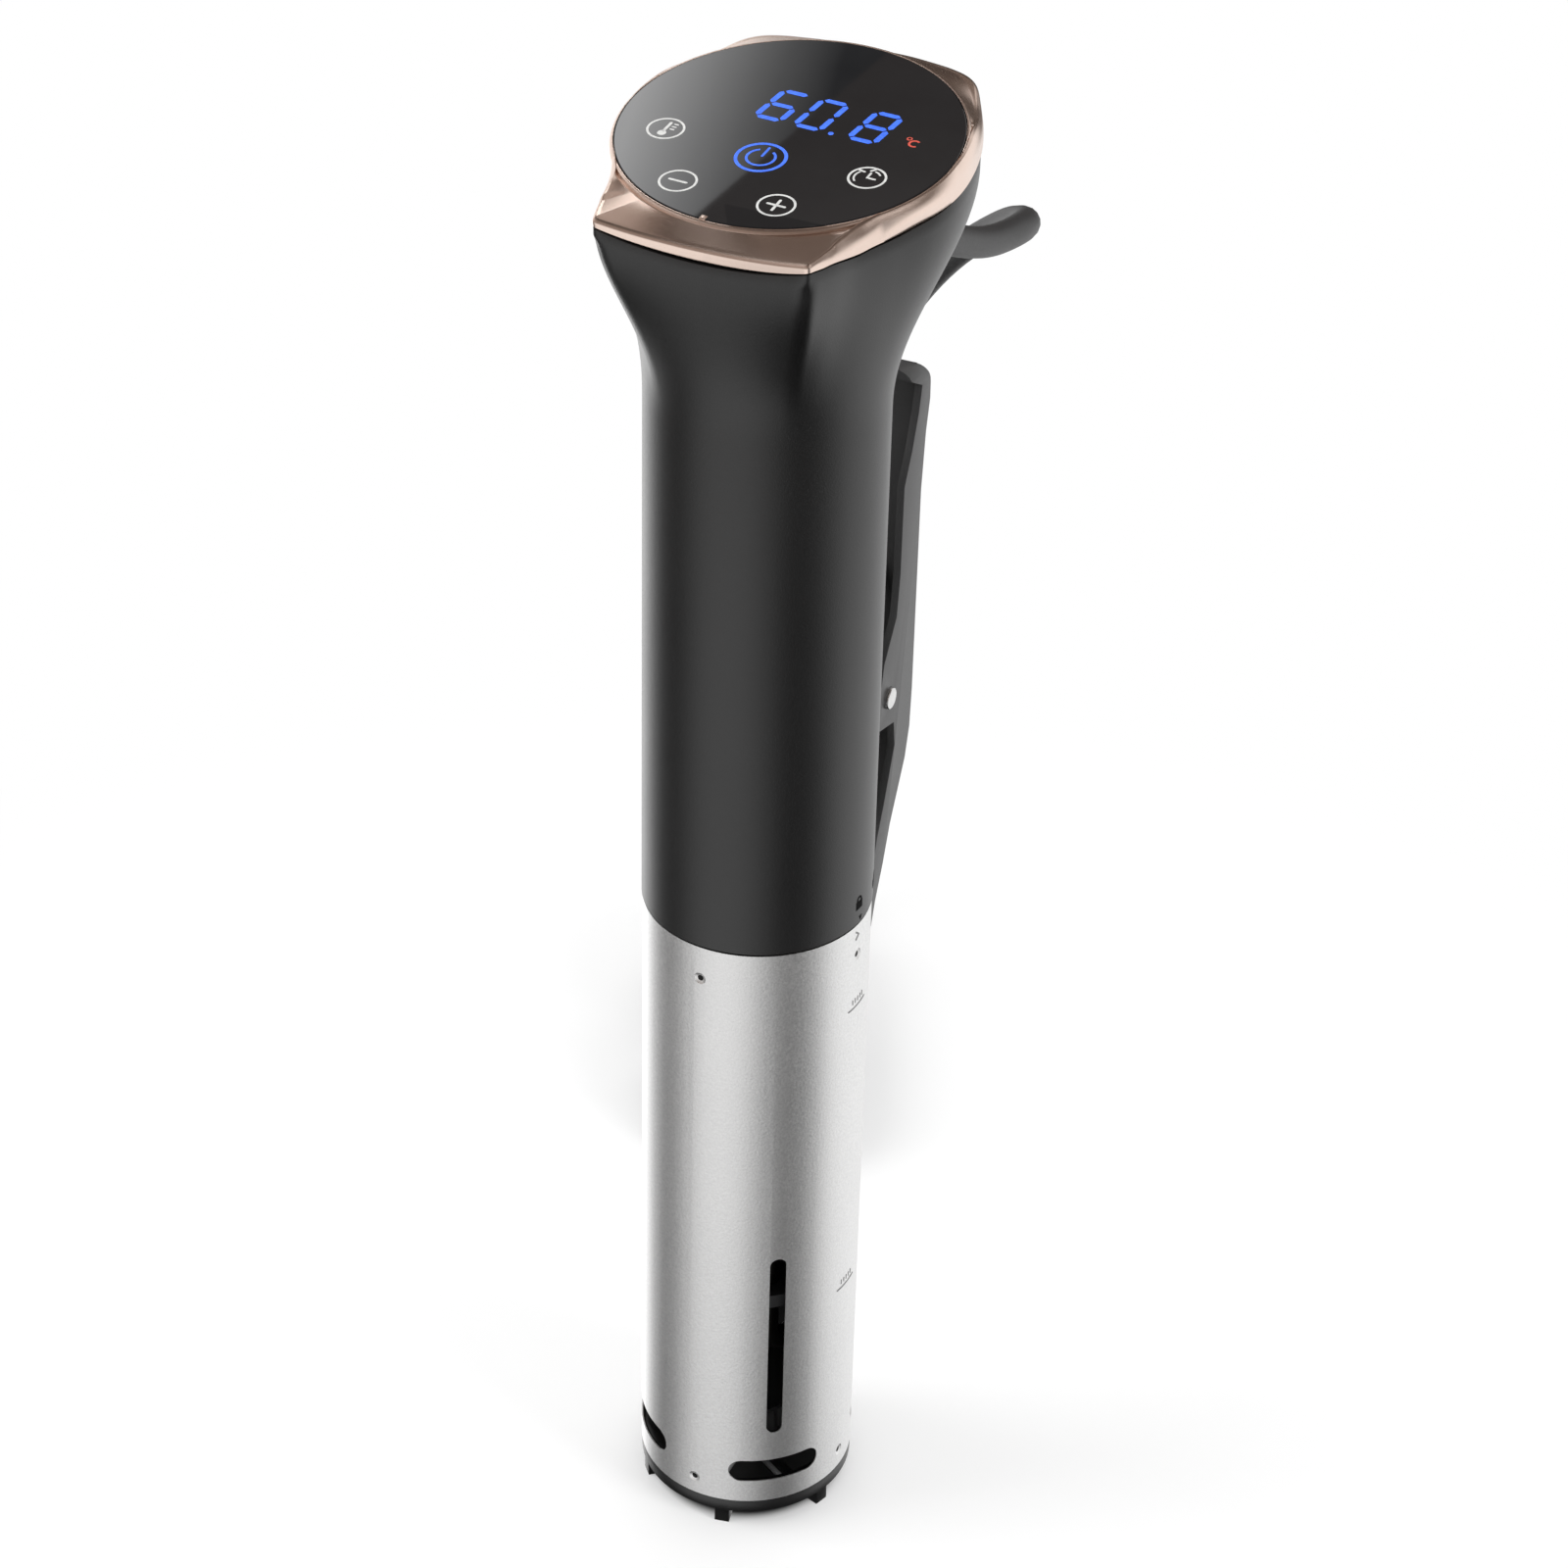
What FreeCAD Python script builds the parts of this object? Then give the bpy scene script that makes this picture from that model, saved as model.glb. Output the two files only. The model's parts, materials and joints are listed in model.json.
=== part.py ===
import FreeCAD, Part
import math
import os

import Sketcher
from FreeCAD import Placement, Rotation, Vector

# Immersion circulator that stands on its foot pegs.
# +X is the user's right, -Y the front (display side), +Z up, origin on the tube axis at the peg tips.

sizes = {
    # foot and steel sleeve
    "pegHeight": 4.5,
    "footRing": 4.0,
    "footHeight": 8.5,
    "footOpening": 22.0,
    "footHub": 6.0,
    "spokeWidth": 3.2,
    "upstandHeight": 6.0,
    "upstandWall": 2.0,
    "pegWidth": 4.0,
    "pegInner": 24.0,
    "pegOuter": 28.6,
    "sleeveRadius": 29.0,
    "sleeveWall": 0.7,
    "inletHeight": 19.5,
    "inletWidth": 7.3,
    "inletSpan": 51.0,
    "inletAngle": 40.7,
    "slotAngle": 39.5,
    "slotLow": 32.8,
    "slotHigh": 93.2,
    "slotWidth": 4.4,
    "dimpleLow": 14.0,
    "dimpleHigh": 181.2,
    "dimpleAngle": -4.0,
    "dimpleRadius": 3.1,
    "dimpleOffset": 2.62,
    # bayonet between sleeve and handle
    "seamHeight": 190.9,
    "movingGap": 0.3,
    "collarRadius": 26.0,
    "collarBottom": 168.0,
    "lugReach": 1.8,
    "lugBottom": 177.0,
    "lugHeight": 3.0,
    "lugSpan": 14.0,
    "twistAngle": 24.0,
    # handle housing
    "handleRadius": 29.2,
    "handleWall": 2.5,
    "seatGap": 0.08,
    "flareStart": 330.2,
    "flareStartLean": -5.7,
    "flareFinish": 383.0,
    # display head
    "displayBack": 9.2,
    "displayHeight": 393.3,
    "displayTilt": 8.8,
    "glassRadius": 39.9,
    "glassThickness": 1.6,
    "rimRadius": 41.2,
    "rimHeight": 2.4,
    "bezelOpening": 36.0,
    "boardDepth": 8.0,
    # drive
    "shaftRadius": 2.0,
    "runningFit": 0.05,
    "couplingHeight": 207.0,
    "motorRadius": 14.0,
    "motorBottom": 222.0,
    "motorTop": 254.0,
    "impellerRadius": 14.0,
    "impellerBottom": 16.0,
    "impellerHeight": 11.0,
    "hubRadius": 4.2,
    "bladeThickness": 1.2,
    # heater and probes
    "heaterRadius": 3.2,
    "heaterCircle": 18.0,
    "heaterBottom": 62.0,
    "heaterTop": 148.0,
    "probeCircle": 20.0,
    "minLevel": 74.0,
    "guideHeight": 74.0,
    "guideThickness": 4.0,
    # clip
    "pivotBack": 43.3,
    "pivotHeight": 228.1,
    "pinRadius": 2.9,
    "leverHalfWidth": 16.0,
    "leverWall": 2.2,
    "earThickness": 3.0,
    "earSpread": 11.5,
    # cord
    "cordRadius": 4.25,
    "exitBack": 43.5,
    "exitHeight": 359.2,
    "exitDrop": 28.0,
    "glandLength": 38.3,
    "restAngle": 24.4,
    "coilDistance": 185.0,
    "coilStraight": 70.0,
    "coilRadius": 25.5,
    "tieThickness": 1.2,
}

doc = FreeCAD.newDocument("SousVideCirculator")
sheet = doc.addObject("Spreadsheet::Sheet", "Dims")
for line, (word, amount) in enumerate(sizes.items(), start=1):
    sheet.set(f"A{line}", word)
    sheet.set(f"B{line}", str(amount))
    sheet.setAlias(f"B{line}", word)
doc.recompute()
reader = doc.addObject("App::FeaturePython", "Reader")

nodes = {}


def dim(word):
    return sizes[word]


def value(expression):
    return float(reader.evalExpression(str(expression)))


def bind(item, prop, expression):
    item.setExpression(prop, str(expression))


def keep(node, item):
    item.Label = node
    nodes[node] = item
    return item


def toward(angle, radius):
    """Point at a radius, at an angle from the front towards the right."""
    turn = math.radians(angle)
    return Vector(radius * math.sin(turn), -radius * math.cos(turn), 0)


# ---- Part primitives with sizes bound to the sheet


def place(item, x=0, y=0, z=0, rotation=None):
    if rotation:
        item.Placement = Placement(Vector(0, 0, 0), rotation)
    for axis, amount in (("x", x), ("y", y), ("z", z)):
        bind(item, "Placement.Base." + axis, amount)
    return item


def cylinder(name, radius, height, x=0, y=0, z=0, rotation=None, span=None):
    item = doc.addObject("Part::Cylinder", name)
    bind(item, "Radius", radius)
    bind(item, "Height", height)
    if span:
        bind(item, "Angle", span)
    return place(item, x, y, z, rotation)


def box(name, length, width, height, x=0, y=0, z=0, rotation=None):
    item = doc.addObject("Part::Box", name)
    bind(item, "Length", length)
    bind(item, "Width", width)
    bind(item, "Height", height)
    return place(item, x, y, z, rotation)


def centred_box(name, length, width, height, x=0, y=0, z=0):
    return box(name, length, width, height, f"{x} - ({length}) / 2", f"{y} - ({width}) / 2", z)


def fuse(name, items):
    if len(items) == 1:
        return items[0]
    item = doc.addObject("Part::MultiFuse", name)
    item.Shapes = items
    return item


def cut(name, base, tools):
    item = doc.addObject("Part::Cut", name)
    item.Base = base
    item.Tool = fuse(name + "Tools", tools)
    return item


def group(name, items):
    item = doc.addObject("Part::Compound", name)
    item.Links = items
    return item


def solid(name, shape, placement=None):
    item = doc.addObject("Part::Feature", name)
    item.Shape = shape
    if placement:
        item.Placement = placement
    return item


def radial_rod(name, radius, angle, height, reach=40):
    """Rod from the axis outwards, at an angle from the front."""
    outward = Rotation(Vector(0, 0, 1), toward(angle, 1))
    return cylinder(name, radius, reach, z=height, rotation=outward)


def sector(name, radius, angle, span, low, height):
    """Wedge about the axis, centred on an angle from the front."""
    start = Rotation(Vector(0, 0, 1), angle - 90 - value(span) / 2)
    return cylinder(name, radius, height, z=low, rotation=start, span=span)


# ---- PartDesign bodies with sketches bound to the sheet


def new_body(node):
    body = doc.addObject("PartDesign::Body", node + "_body")
    return keep(node, body)


def new_sketch(body, role, offset=None):
    plane = next(item for item in body.Origin.OriginFeatures if item.Role == role)
    sketch = body.newObject("Sketcher::SketchObject", "Sketch")
    sketch.AttachmentSupport = [(plane, "")]
    sketch.MapMode = "FlatFace"
    if offset is not None:
        bind(sketch, "AttachmentOffset.Base.z", offset)
    return sketch


def pin_point(sketch, geometry, point, x, y):
    for kind, amount, axis in (("DistanceX", x, -2), ("DistanceY", y, -1)):
        if abs(value(amount)) < 1e-9:
            sketch.addConstraint(Sketcher.Constraint("PointOnObject", geometry, point, axis))
            continue
        index = sketch.addConstraint(
            Sketcher.Constraint(kind, -1, 1, geometry, point, value(amount))
        )
        bind(sketch, f"Constraints[{index}]", amount)


def polygon(sketch, points):
    corners = [Vector(value(x), value(y), 0) for x, y in points]
    first = sketch.GeometryCount
    count = len(corners)
    for k in range(count):
        sketch.addGeometry(Part.LineSegment(corners[k], corners[(k + 1) % count]), False)
    for k in range(count):
        follower = first + (k + 1) % count
        sketch.addConstraint(Sketcher.Constraint("Coincident", first + k, 2, follower, 1))
    for k, (x, y) in enumerate(points):
        pin_point(sketch, first + k, 1, x, y)


def circle(sketch, radius, x=0, y=0):
    centre = Vector(value(x), value(y), 0)
    index = sketch.addGeometry(Part.Circle(centre, Vector(0, 0, 1), value(radius)), False)
    pin_point(sketch, index, 3, x, y)
    size = sketch.addConstraint(Sketcher.Constraint("Radius", index, value(radius)))
    bind(sketch, f"Constraints[{size}]", radius)


def pad(body, sketch, length, both_ways=False):
    feature = body.newObject("PartDesign::Pad", "Pad")
    feature.Profile = sketch
    feature.Midplane = both_ways
    bind(feature, "Length", length)
    return feature


def pocket(body, sketch, length, both_ways=False, reversed_way=False):
    feature = body.newObject("PartDesign::Pocket", "Pocket")
    feature.Profile = sketch
    feature.Midplane = both_ways
    feature.Reversed = reversed_way
    bind(feature, "Length", length)
    return feature


def polar(body, feature, count):
    pattern = body.newObject("PartDesign::PolarPattern", "Pattern")
    pattern.Originals = [feature]
    axis = next(item for item in body.Origin.OriginFeatures if item.Role == "Z_Axis")
    pattern.Axis = (axis, [""])
    pattern.Angle = 360
    pattern.Occurrences = count
    body.Tip = pattern
    return pattern


def turned(body, points):
    """Fills a body by turning a profile of (radius, height) points about +Z."""
    sketch = new_sketch(body, "XZ_Plane")
    polygon(sketch, points)
    feature = body.newObject("PartDesign::Revolution", "Revolution")
    feature.Profile = sketch
    feature.ReferenceAxis = (sketch, ["V_Axis"])
    feature.Angle = 360
    return body


def revolved(node, points):
    return turned(new_body(node), points)


def ring(node, inner, outer, low, high):
    return revolved(node, [(inner, low), (outer, low), (outer, high), (inner, high)])


# ---- steel sleeve, with its bayonet ring and foot


def inlet_tool(angle):
    """Round-ended opening that follows the tube."""
    end = math.degrees(math.asin(dim("inletWidth") / 2 / dim("sleeveRadius")))
    middle = f"Dims.inletSpan - {2 * end}"
    half = value(middle) / 2
    low = "Dims.inletHeight - Dims.inletWidth / 2"
    return [
        sector("InletSpan", 40, angle, middle, low, "Dims.inletWidth"),
        radial_rod("InletEnd", "Dims.inletWidth / 2", angle - half, "Dims.inletHeight"),
        radial_rod("InletEnd", "Dims.inletWidth / 2", angle + half, "Dims.inletHeight"),
    ]


def slot_tool(angle):
    rotation = Rotation(Vector(0, 0, 1), angle - 90)
    side = toward(angle + 90, dim("slotWidth") / 2)
    length = "Dims.slotHigh - Dims.slotLow - Dims.slotWidth"
    low = "Dims.slotLow + Dims.slotWidth / 2"
    wall = box("SlotSpan", 40, "Dims.slotWidth", length, -side.x, -side.y, low, rotation)
    ends = [
        radial_rod("SlotEnd", "Dims.slotWidth / 2", angle, low),
        radial_rod("SlotEnd", "Dims.slotWidth / 2", angle, "Dims.slotHigh - Dims.slotWidth / 2"),
    ]
    return [wall] + ends


def dimple_tools(height):
    """Round dents that crimp the sleeve to the plastic ring behind it."""
    dents = []
    for quarter in range(4):
        spot = toward(dim("dimpleAngle") + 90 * quarter, dim("sleeveRadius") + dim("dimpleOffset"))
        dent = doc.addObject("Part::Sphere", "Dimple")
        bind(dent, "Radius", "Dims.dimpleRadius")
        dents.append(place(dent, spot.x, spot.y, height))
    return dents


def steel_sleeve():
    height = "Dims.seamHeight - Dims.movingGap - Dims.footHeight"
    outside = cylinder("SleeveOutside", "Dims.sleeveRadius", height, z="Dims.footHeight")
    tools = [
        cylinder("SleeveInside", "Dims.sleeveRadius - Dims.sleeveWall", 200)
    ]
    for quarter in range(4):
        tools += inlet_tool(dim("inletAngle") + 90 * quarter)
    for side in range(2):
        tools += slot_tool(dim("slotAngle") + 180 * side)
    tools += dimple_tools("Dims.dimpleLow") + dimple_tools("Dims.dimpleHigh")
    keep("steel_sleeve", cut("SleeveTube", outside, tools))


def bayonet_ring():
    """Plastic ring in the top of the sleeve, with an L-shaped slot for each lug."""
    inside = "Dims.collarRadius + Dims.movingGap"
    outside = "Dims.sleeveRadius - Dims.sleeveWall"
    low = "Dims.collarBottom + 3"
    high = "Dims.seamHeight - Dims.movingGap - 0.4"
    rim = cylinder("RingOutside", outside, f"{high} - ({low})", z=low)
    tools = [cylinder("RingInside", inside, 200)]
    slack = "Dims.movingGap"
    for lug in range(3):
        angle = lug_angle(lug)
        tools.append(
            sector(
                "LockLeg",
                40,
                angle - dim("twistAngle") / 2,
                "Dims.lugSpan + Dims.twistAngle + 3",
                f"Dims.lugBottom - {slack}",
                f"Dims.lugHeight + 2 * {slack}",
            )
        )
        tools.append(
            sector(
                "EntryLeg",
                40,
                angle - dim("twistAngle"),
                "Dims.lugSpan + 3",
                f"Dims.lugBottom - {slack}",
                30,
            )
        )
    keep("bayonet_ring", cut("BayonetRing", rim, tools))


def lug_angle(lug):
    return 40 + 120 * lug


def foot_cap():
    """Black foot: ring under the sleeve, upstand inside it, intake spokes and six pegs."""
    inner = "Dims.sleeveRadius - Dims.sleeveWall"
    body = revolved(
        "foot_cap",
        [
            ("Dims.footOpening", "Dims.pegHeight"),
            ("Dims.sleeveRadius - 0.1", "Dims.pegHeight"),
            ("Dims.sleeveRadius - 0.1", "Dims.footHeight"),
            (inner, "Dims.footHeight"),
            (inner, "Dims.footHeight + Dims.upstandHeight"),
            (f"{inner} - Dims.upstandWall", "Dims.footHeight + Dims.upstandHeight"),
            (f"{inner} - Dims.upstandWall", "Dims.footHeight - 1"),
            ("Dims.footOpening", "Dims.footHeight - 1"),
        ],
    )
    hub = new_sketch(body, "XY_Plane", "Dims.pegHeight")
    circle(hub, "Dims.footHub")
    pad(body, hub, "Dims.footRing - 1")
    spoke = new_sketch(body, "XY_Plane", "Dims.pegHeight")
    side = "Dims.spokeWidth / 2"
    start = "Dims.footHub - 2"
    end = "Dims.footOpening + 1"
    polygon(spoke, [(f"-{side}", start), (side, start), (side, end), (f"-{side}", end)])
    polar(body, pad(body, spoke, "Dims.footRing - 1"), 6)
    peg = new_sketch(body, "XY_Plane", 0)
    turn = math.radians(12)
    corners = []
    half = dim("pegWidth") / 2
    near, far = dim("pegInner"), dim("pegOuter")
    for across, out in ((-half, near), (half, near), (half, far), (-half, far)):
        x = across * math.cos(turn) + out * math.sin(turn)
        y = across * math.sin(turn) - out * math.cos(turn)
        corners.append((x, y))
    polygon(peg, corners)
    polar(body, pad(body, peg, "Dims.pegHeight + 0.5"), 6)


# ---- bulkhead that closes the handle and carries the wet end

heaterAngles = (-60, -10, 40, 90)
probeAngle = 180
levelAngles = (145, 215)


def bulkhead():
    """Cup that plugs the housing, with the bayonet collar below it."""
    plug = "Dims.handleRadius - Dims.handleWall - Dims.seatGap"
    collar = "Dims.collarRadius"
    seam = "Dims.seamHeight"
    bottom = "Dims.collarBottom"
    cup = turned(
        doc.addObject("PartDesign::Body", "BulkheadCup"),
        [
            (0, f"{bottom} - 6"),
            (6.5, f"{bottom} - 6"),
            (6.5, bottom),
            (collar, bottom),
            (collar, f"{seam} - 6"),
            (f"{collar} - 1.4", f"{seam} - 6"),
            (f"{collar} - 1.4", f"{seam} - 3.4"),
            (collar, f"{seam} - 3.4"),
            (collar, seam),
            (plug, seam),
            (plug, f"{seam} + 5"),
            (f"{plug} - 1.4", f"{seam} + 5"),
            (f"{plug} - 1.4", f"{seam} + 7.6"),
            (plug, f"{seam} + 7.6"),
            (plug, f"{seam} + 15"),
            (f"{collar} - 3", f"{seam} + 15"),
            (f"{collar} - 3", f"{bottom} + 5"),
            (8, f"{bottom} + 5"),
            (8, f"{bottom} + 12"),
            (0, f"{bottom} + 12"),
        ],
    )
    lugs = [
        cut(
            "LugArc",
            sector("Lug", f"{collar} + Dims.lugReach", lug_angle(lug), "Dims.lugSpan",
                   "Dims.lugBottom", "Dims.lugHeight"),
            [cylinder("LugInside", "Dims.collarRadius - 0.5", 300)],
        )
        for lug in range(3)
    ]
    cup = fuse("BulkheadWithLugs", [cup] + lugs)
    tools = [
        cylinder("ShaftBore", "Dims.shaftRadius + 0.6", 60, z="Dims.collarBottom - 10"),
        cylinder("BushSeat", 4, 10, z="Dims.collarBottom - 6"),
        cylinder("SealSeat", 6, 5, z="Dims.collarBottom + 7"),
    ]
    for angle in (heaterAngles[0], heaterAngles[-1]):
        spot = toward(angle, dim("heaterCircle"))
        tools.append(cylinder("LegHole", "Dims.heaterRadius", 20, spot.x, spot.y, "Dims.collarBottom - 5"))
    for angle, radius in ((probeAngle, 2.0), (levelAngles[0], 1.5), (levelAngles[1], 1.5)):
        spot = toward(angle, dim("probeCircle"))
        tools.append(cylinder("ProbeHole", radius, 20, spot.x, spot.y, "Dims.collarBottom - 5"))
    keep("bulkhead", cut("Bulkhead", cup, tools))


def o_ring(node, major, minor, height):
    item = doc.addObject("Part::Torus", node + "_torus")
    bind(item, "Radius1", major)
    bind(item, "Radius2", minor)
    keep(node, place(item, z=height))


def seals():
    o_ring("sleeve_seal", "Dims.collarRadius - 0.9", 1.15, "Dims.seamHeight - 4.7")
    o_ring("housing_seal", "Dims.handleRadius - Dims.handleWall - 1.3", 1.25, "Dims.seamHeight + 6.3")
    inside = "Dims.shaftRadius + Dims.runningFit"
    ring("shaft_seal", inside, 6, "Dims.collarBottom + 7", "Dims.collarBottom + 12")
    ring("shaft_bush", inside, 4, "Dims.collarBottom - 6", "Dims.collarBottom + 4")


def swept(points_to_edges, radius, start, direction):
    wire = Part.Wire(points_to_edges)
    section = Part.Wire([Part.Circle(start, direction, radius).toShape()])
    return wire.makePipeShell([section], True, False)


def heating_element():
    """Tube that runs down, up, down and up again round the shaft."""
    low = dim("heaterBottom")
    high = dim("heaterTop")
    top = dim("collarBottom") + 9
    feet = [toward(angle, dim("heaterCircle")) for angle in heaterAngles]
    levels = [(top, low), (low, high), (high, low), (low, top)]
    edges = []
    for k, (foot, (begin, end)) in enumerate(zip(feet, levels)):
        edges.append(Part.LineSegment(foot + Vector(0, 0, begin), foot + Vector(0, 0, end)).toShape())
        if k == 3:
            break
        middle = (foot + feet[k + 1]) * 0.5
        bend = (feet[k + 1] - foot).Length / 2
        way = 1 if end == high else -1
        edges.append(
            Part.Arc(
                foot + Vector(0, 0, end),
                middle + Vector(0, 0, end + way * bend),
                feet[k + 1] + Vector(0, 0, end),
            ).toShape()
        )
    tube = swept(edges, dim("heaterRadius"), feet[0] + Vector(0, 0, top), Vector(0, 0, 1))
    keep("heating_element", solid("HeaterTube", tube))
    nuts = []
    for foot in (feet[0], feet[3]):
        nut = doc.addObject("Part::Prism", "HeaterNut")
        nut.Polygon = 6
        bind(nut, "Circumradius", 4.8)
        bind(nut, "Height", 3)
        place(nut, foot.x, foot.y, "Dims.collarBottom + 5")
        hole = cylinder("NutHole", "Dims.heaterRadius", 10, foot.x, foot.y, "Dims.collarBottom + 3")
        nuts.append(cut("HeaterNutRing", nut, [hole]))
    keep("heater_nuts", group("HeaterNuts", nuts))


def probes():
    spot = toward(probeAngle, dim("probeCircle"))
    rod = cylinder("ProbeRod", 2, "Dims.collarBottom + 10 - 40", spot.x, spot.y, 40)
    tip = doc.addObject("Part::Sphere", "ProbeTip")
    bind(tip, "Radius", 2)
    place(tip, spot.x, spot.y, 40)
    keep("temperature_probe", fuse("TemperatureProbe", [rod, tip]))
    rods = []
    for angle in levelAngles:
        spot = toward(angle, dim("probeCircle"))
        rods.append(
            cylinder("LevelRod", 1.5, "Dims.collarBottom + 10 - Dims.minLevel + 2",
                     spot.x, spot.y, "Dims.minLevel - 2")
        )
    keep("level_probes", group("LevelProbes", rods))


def lower_guide():
    """Plastic disc on the heater legs that steadies the shaft and the probes."""
    disc = cylinder("GuideDisc", 25.6, "Dims.guideThickness", z="Dims.guideHeight")
    tools = [cylinder("GuideBore", 4, 20, z="Dims.guideHeight - 5")]
    for angle in heaterAngles:
        spot = toward(angle, dim("heaterCircle"))
        tools.append(cylinder("GuideLeg", "Dims.heaterRadius", 20, spot.x, spot.y, "Dims.guideHeight - 5"))
    for angle, radius in ((probeAngle, 2.0), (levelAngles[0], 1.5), (levelAngles[1], 1.5)):
        spot = toward(angle, dim("probeCircle"))
        tools.append(cylinder("GuideProbe", radius, 20, spot.x, spot.y, "Dims.guideHeight - 5"))
    for angle in (-35, 15, 65, 118, 242, 272):
        spot = toward(angle, 11)
        tools.append(cylinder("GuideWindow", 3, 20, spot.x, spot.y, "Dims.guideHeight - 5"))
    keep("lower_guide", cut("LowerGuide", disc, tools))
    inside = "Dims.shaftRadius + Dims.runningFit"
    ring("guide_bush", inside, 4, "Dims.guideHeight - 1", "Dims.guideHeight + 5")


def thermal_cutout():
    spot = toward(15, 15)
    can = cylinder("CutoutCan", 5, 3.4, spot.x, spot.y, "Dims.collarBottom + 5")
    cap = cylinder("CutoutCap", 4, 3, spot.x, spot.y, "Dims.collarBottom + 8.4")
    keep("thermal_cutout", fuse("ThermalCutout", [can, cap]))


# ---- drive: motor, coupling, shaft and impeller


def motor():
    outer = "Dims.motorRadius"
    low = "Dims.motorBottom"
    high = "Dims.motorTop"
    hole = 5
    revolved(
        "motor_can",
        [
            (hole, low),
            (outer, low),
            (outer, high),
            (hole, high),
            (hole, f"{high} - 1.5"),
            (f"{outer} - 1.2", f"{high} - 1.5"),
            (f"{outer} - 1.2", f"{low} + 1.5"),
            (hole, f"{low} + 1.5"),
        ],
    )
    bearings = []
    for height in (f"{low}", f"{high} - 4"):
        outside = cylinder("BearingOutside", hole, 4, z=height)
        inside = cylinder("BearingInside", "Dims.shaftRadius + Dims.runningFit", 10, z=f"{height} - 2")
        bearings.append(cut("MotorBearing", outside, [inside]))
    keep("motor_bearings", group("MotorBearings", bearings))
    ring("motor_magnet", f"{outer} - 3.8", f"{outer} - 1.2", f"{low} + 6", f"{high} - 6")
    revolved(
        "motor_rotor",
        [
            (0, "Dims.couplingHeight"),
            ("Dims.shaftRadius", "Dims.couplingHeight"),
            ("Dims.shaftRadius", f"{low} + 7"),
            (f"{outer} - 4.4", f"{low} + 7"),
            (f"{outer} - 4.4", f"{high} - 7"),
            ("Dims.shaftRadius", f"{high} - 7"),
            ("Dims.shaftRadius", f"{high} + 1"),
            (0, f"{high} + 1"),
        ],
    )


def drive_line():
    ring("shaft_coupling", "Dims.shaftRadius", 5, "Dims.couplingHeight - 7", "Dims.couplingHeight + 7")
    top = "Dims.couplingHeight - 0.2"
    revolved(
        "drive_shaft",
        [
            (0, "Dims.impellerBottom - 1"),
            ("Dims.shaftRadius - 0.4", "Dims.impellerBottom - 1"),
            ("Dims.shaftRadius", "Dims.impellerBottom - 0.4"),
            ("Dims.shaftRadius", top),
            (0, top),
        ],
    )


def impeller():
    """Six straight blades on a hub under a thin disc."""
    body = ring("impeller", "Dims.shaftRadius", "Dims.hubRadius", "Dims.impellerBottom",
                "Dims.impellerBottom + Dims.impellerHeight")
    disc = new_sketch(body, "XY_Plane", "Dims.impellerBottom + Dims.impellerHeight - Dims.bladeThickness")
    circle(disc, "Dims.impellerRadius")
    circle(disc, "Dims.shaftRadius")
    pad(body, disc, "Dims.bladeThickness")
    blade = new_sketch(body, "XY_Plane", "Dims.impellerBottom")
    half = "Dims.bladeThickness / 2"
    root = "Dims.hubRadius - 0.4"
    tip = "Dims.impellerRadius - 0.2"
    polygon(blade, [(f"-{half}", root), (half, root), (half, tip), (f"-{half}", tip)])
    polar(body, pad(body, blade, "Dims.impellerHeight - 0.6"), 6)


def motor_mount():
    """Plate that the motor stands on, with its posts and screws."""
    body = new_body("motor_plate")
    plate = new_sketch(body, "XY_Plane", "Dims.motorBottom - 3")
    circle(plate, "Dims.handleRadius - Dims.handleWall - 0.5")
    circle(plate, 6.5)
    pad(body, plate, 3)
    low = "Dims.seamHeight + 15"
    posts = []
    standoffs = []
    for angle in (0, 120, 240):
        spot = toward(angle, 23.8)
        posts.append(cylinder("PlatePost", 2.3, f"Dims.motorBottom - 3 - ({low})", spot.x, spot.y, low))
        standoffs.append(cylinder("FramePost", 2.3, "Dims.motorTop + 6 - Dims.motorBottom",
                                  spot.x, spot.y, "Dims.motorBottom"))
    keep("plate_posts", group("PlatePosts", posts))
    keep("frame_posts", group("FramePosts", standoffs))
    screws = []
    for side in (-1, 1):
        head = cylinder("MotorScrewHead", 2.4, 1.8, 10 * side, 0, "Dims.motorBottom - 4.8")
        screws.append(head)
    keep("motor_screws", group("MotorScrews", screws))


# ---- electronics


def board_frame():
    """Base ring and upright that carry the main board."""
    low = "Dims.motorTop + 6"
    disc = cylinder("FrameDisc", "Dims.handleRadius - Dims.handleWall - 0.5", 3, z=low)
    window = cylinder("FrameWindow", 14, 10, z=f"{low} - 3")
    base = cut("FrameBase", disc, [window])
    upright = centred_box("FrameUpright", 40, 2, 82, 0, 15, f"{low} + 3")
    keep("board_frame", fuse("BoardFrame", [base, upright]))


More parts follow.
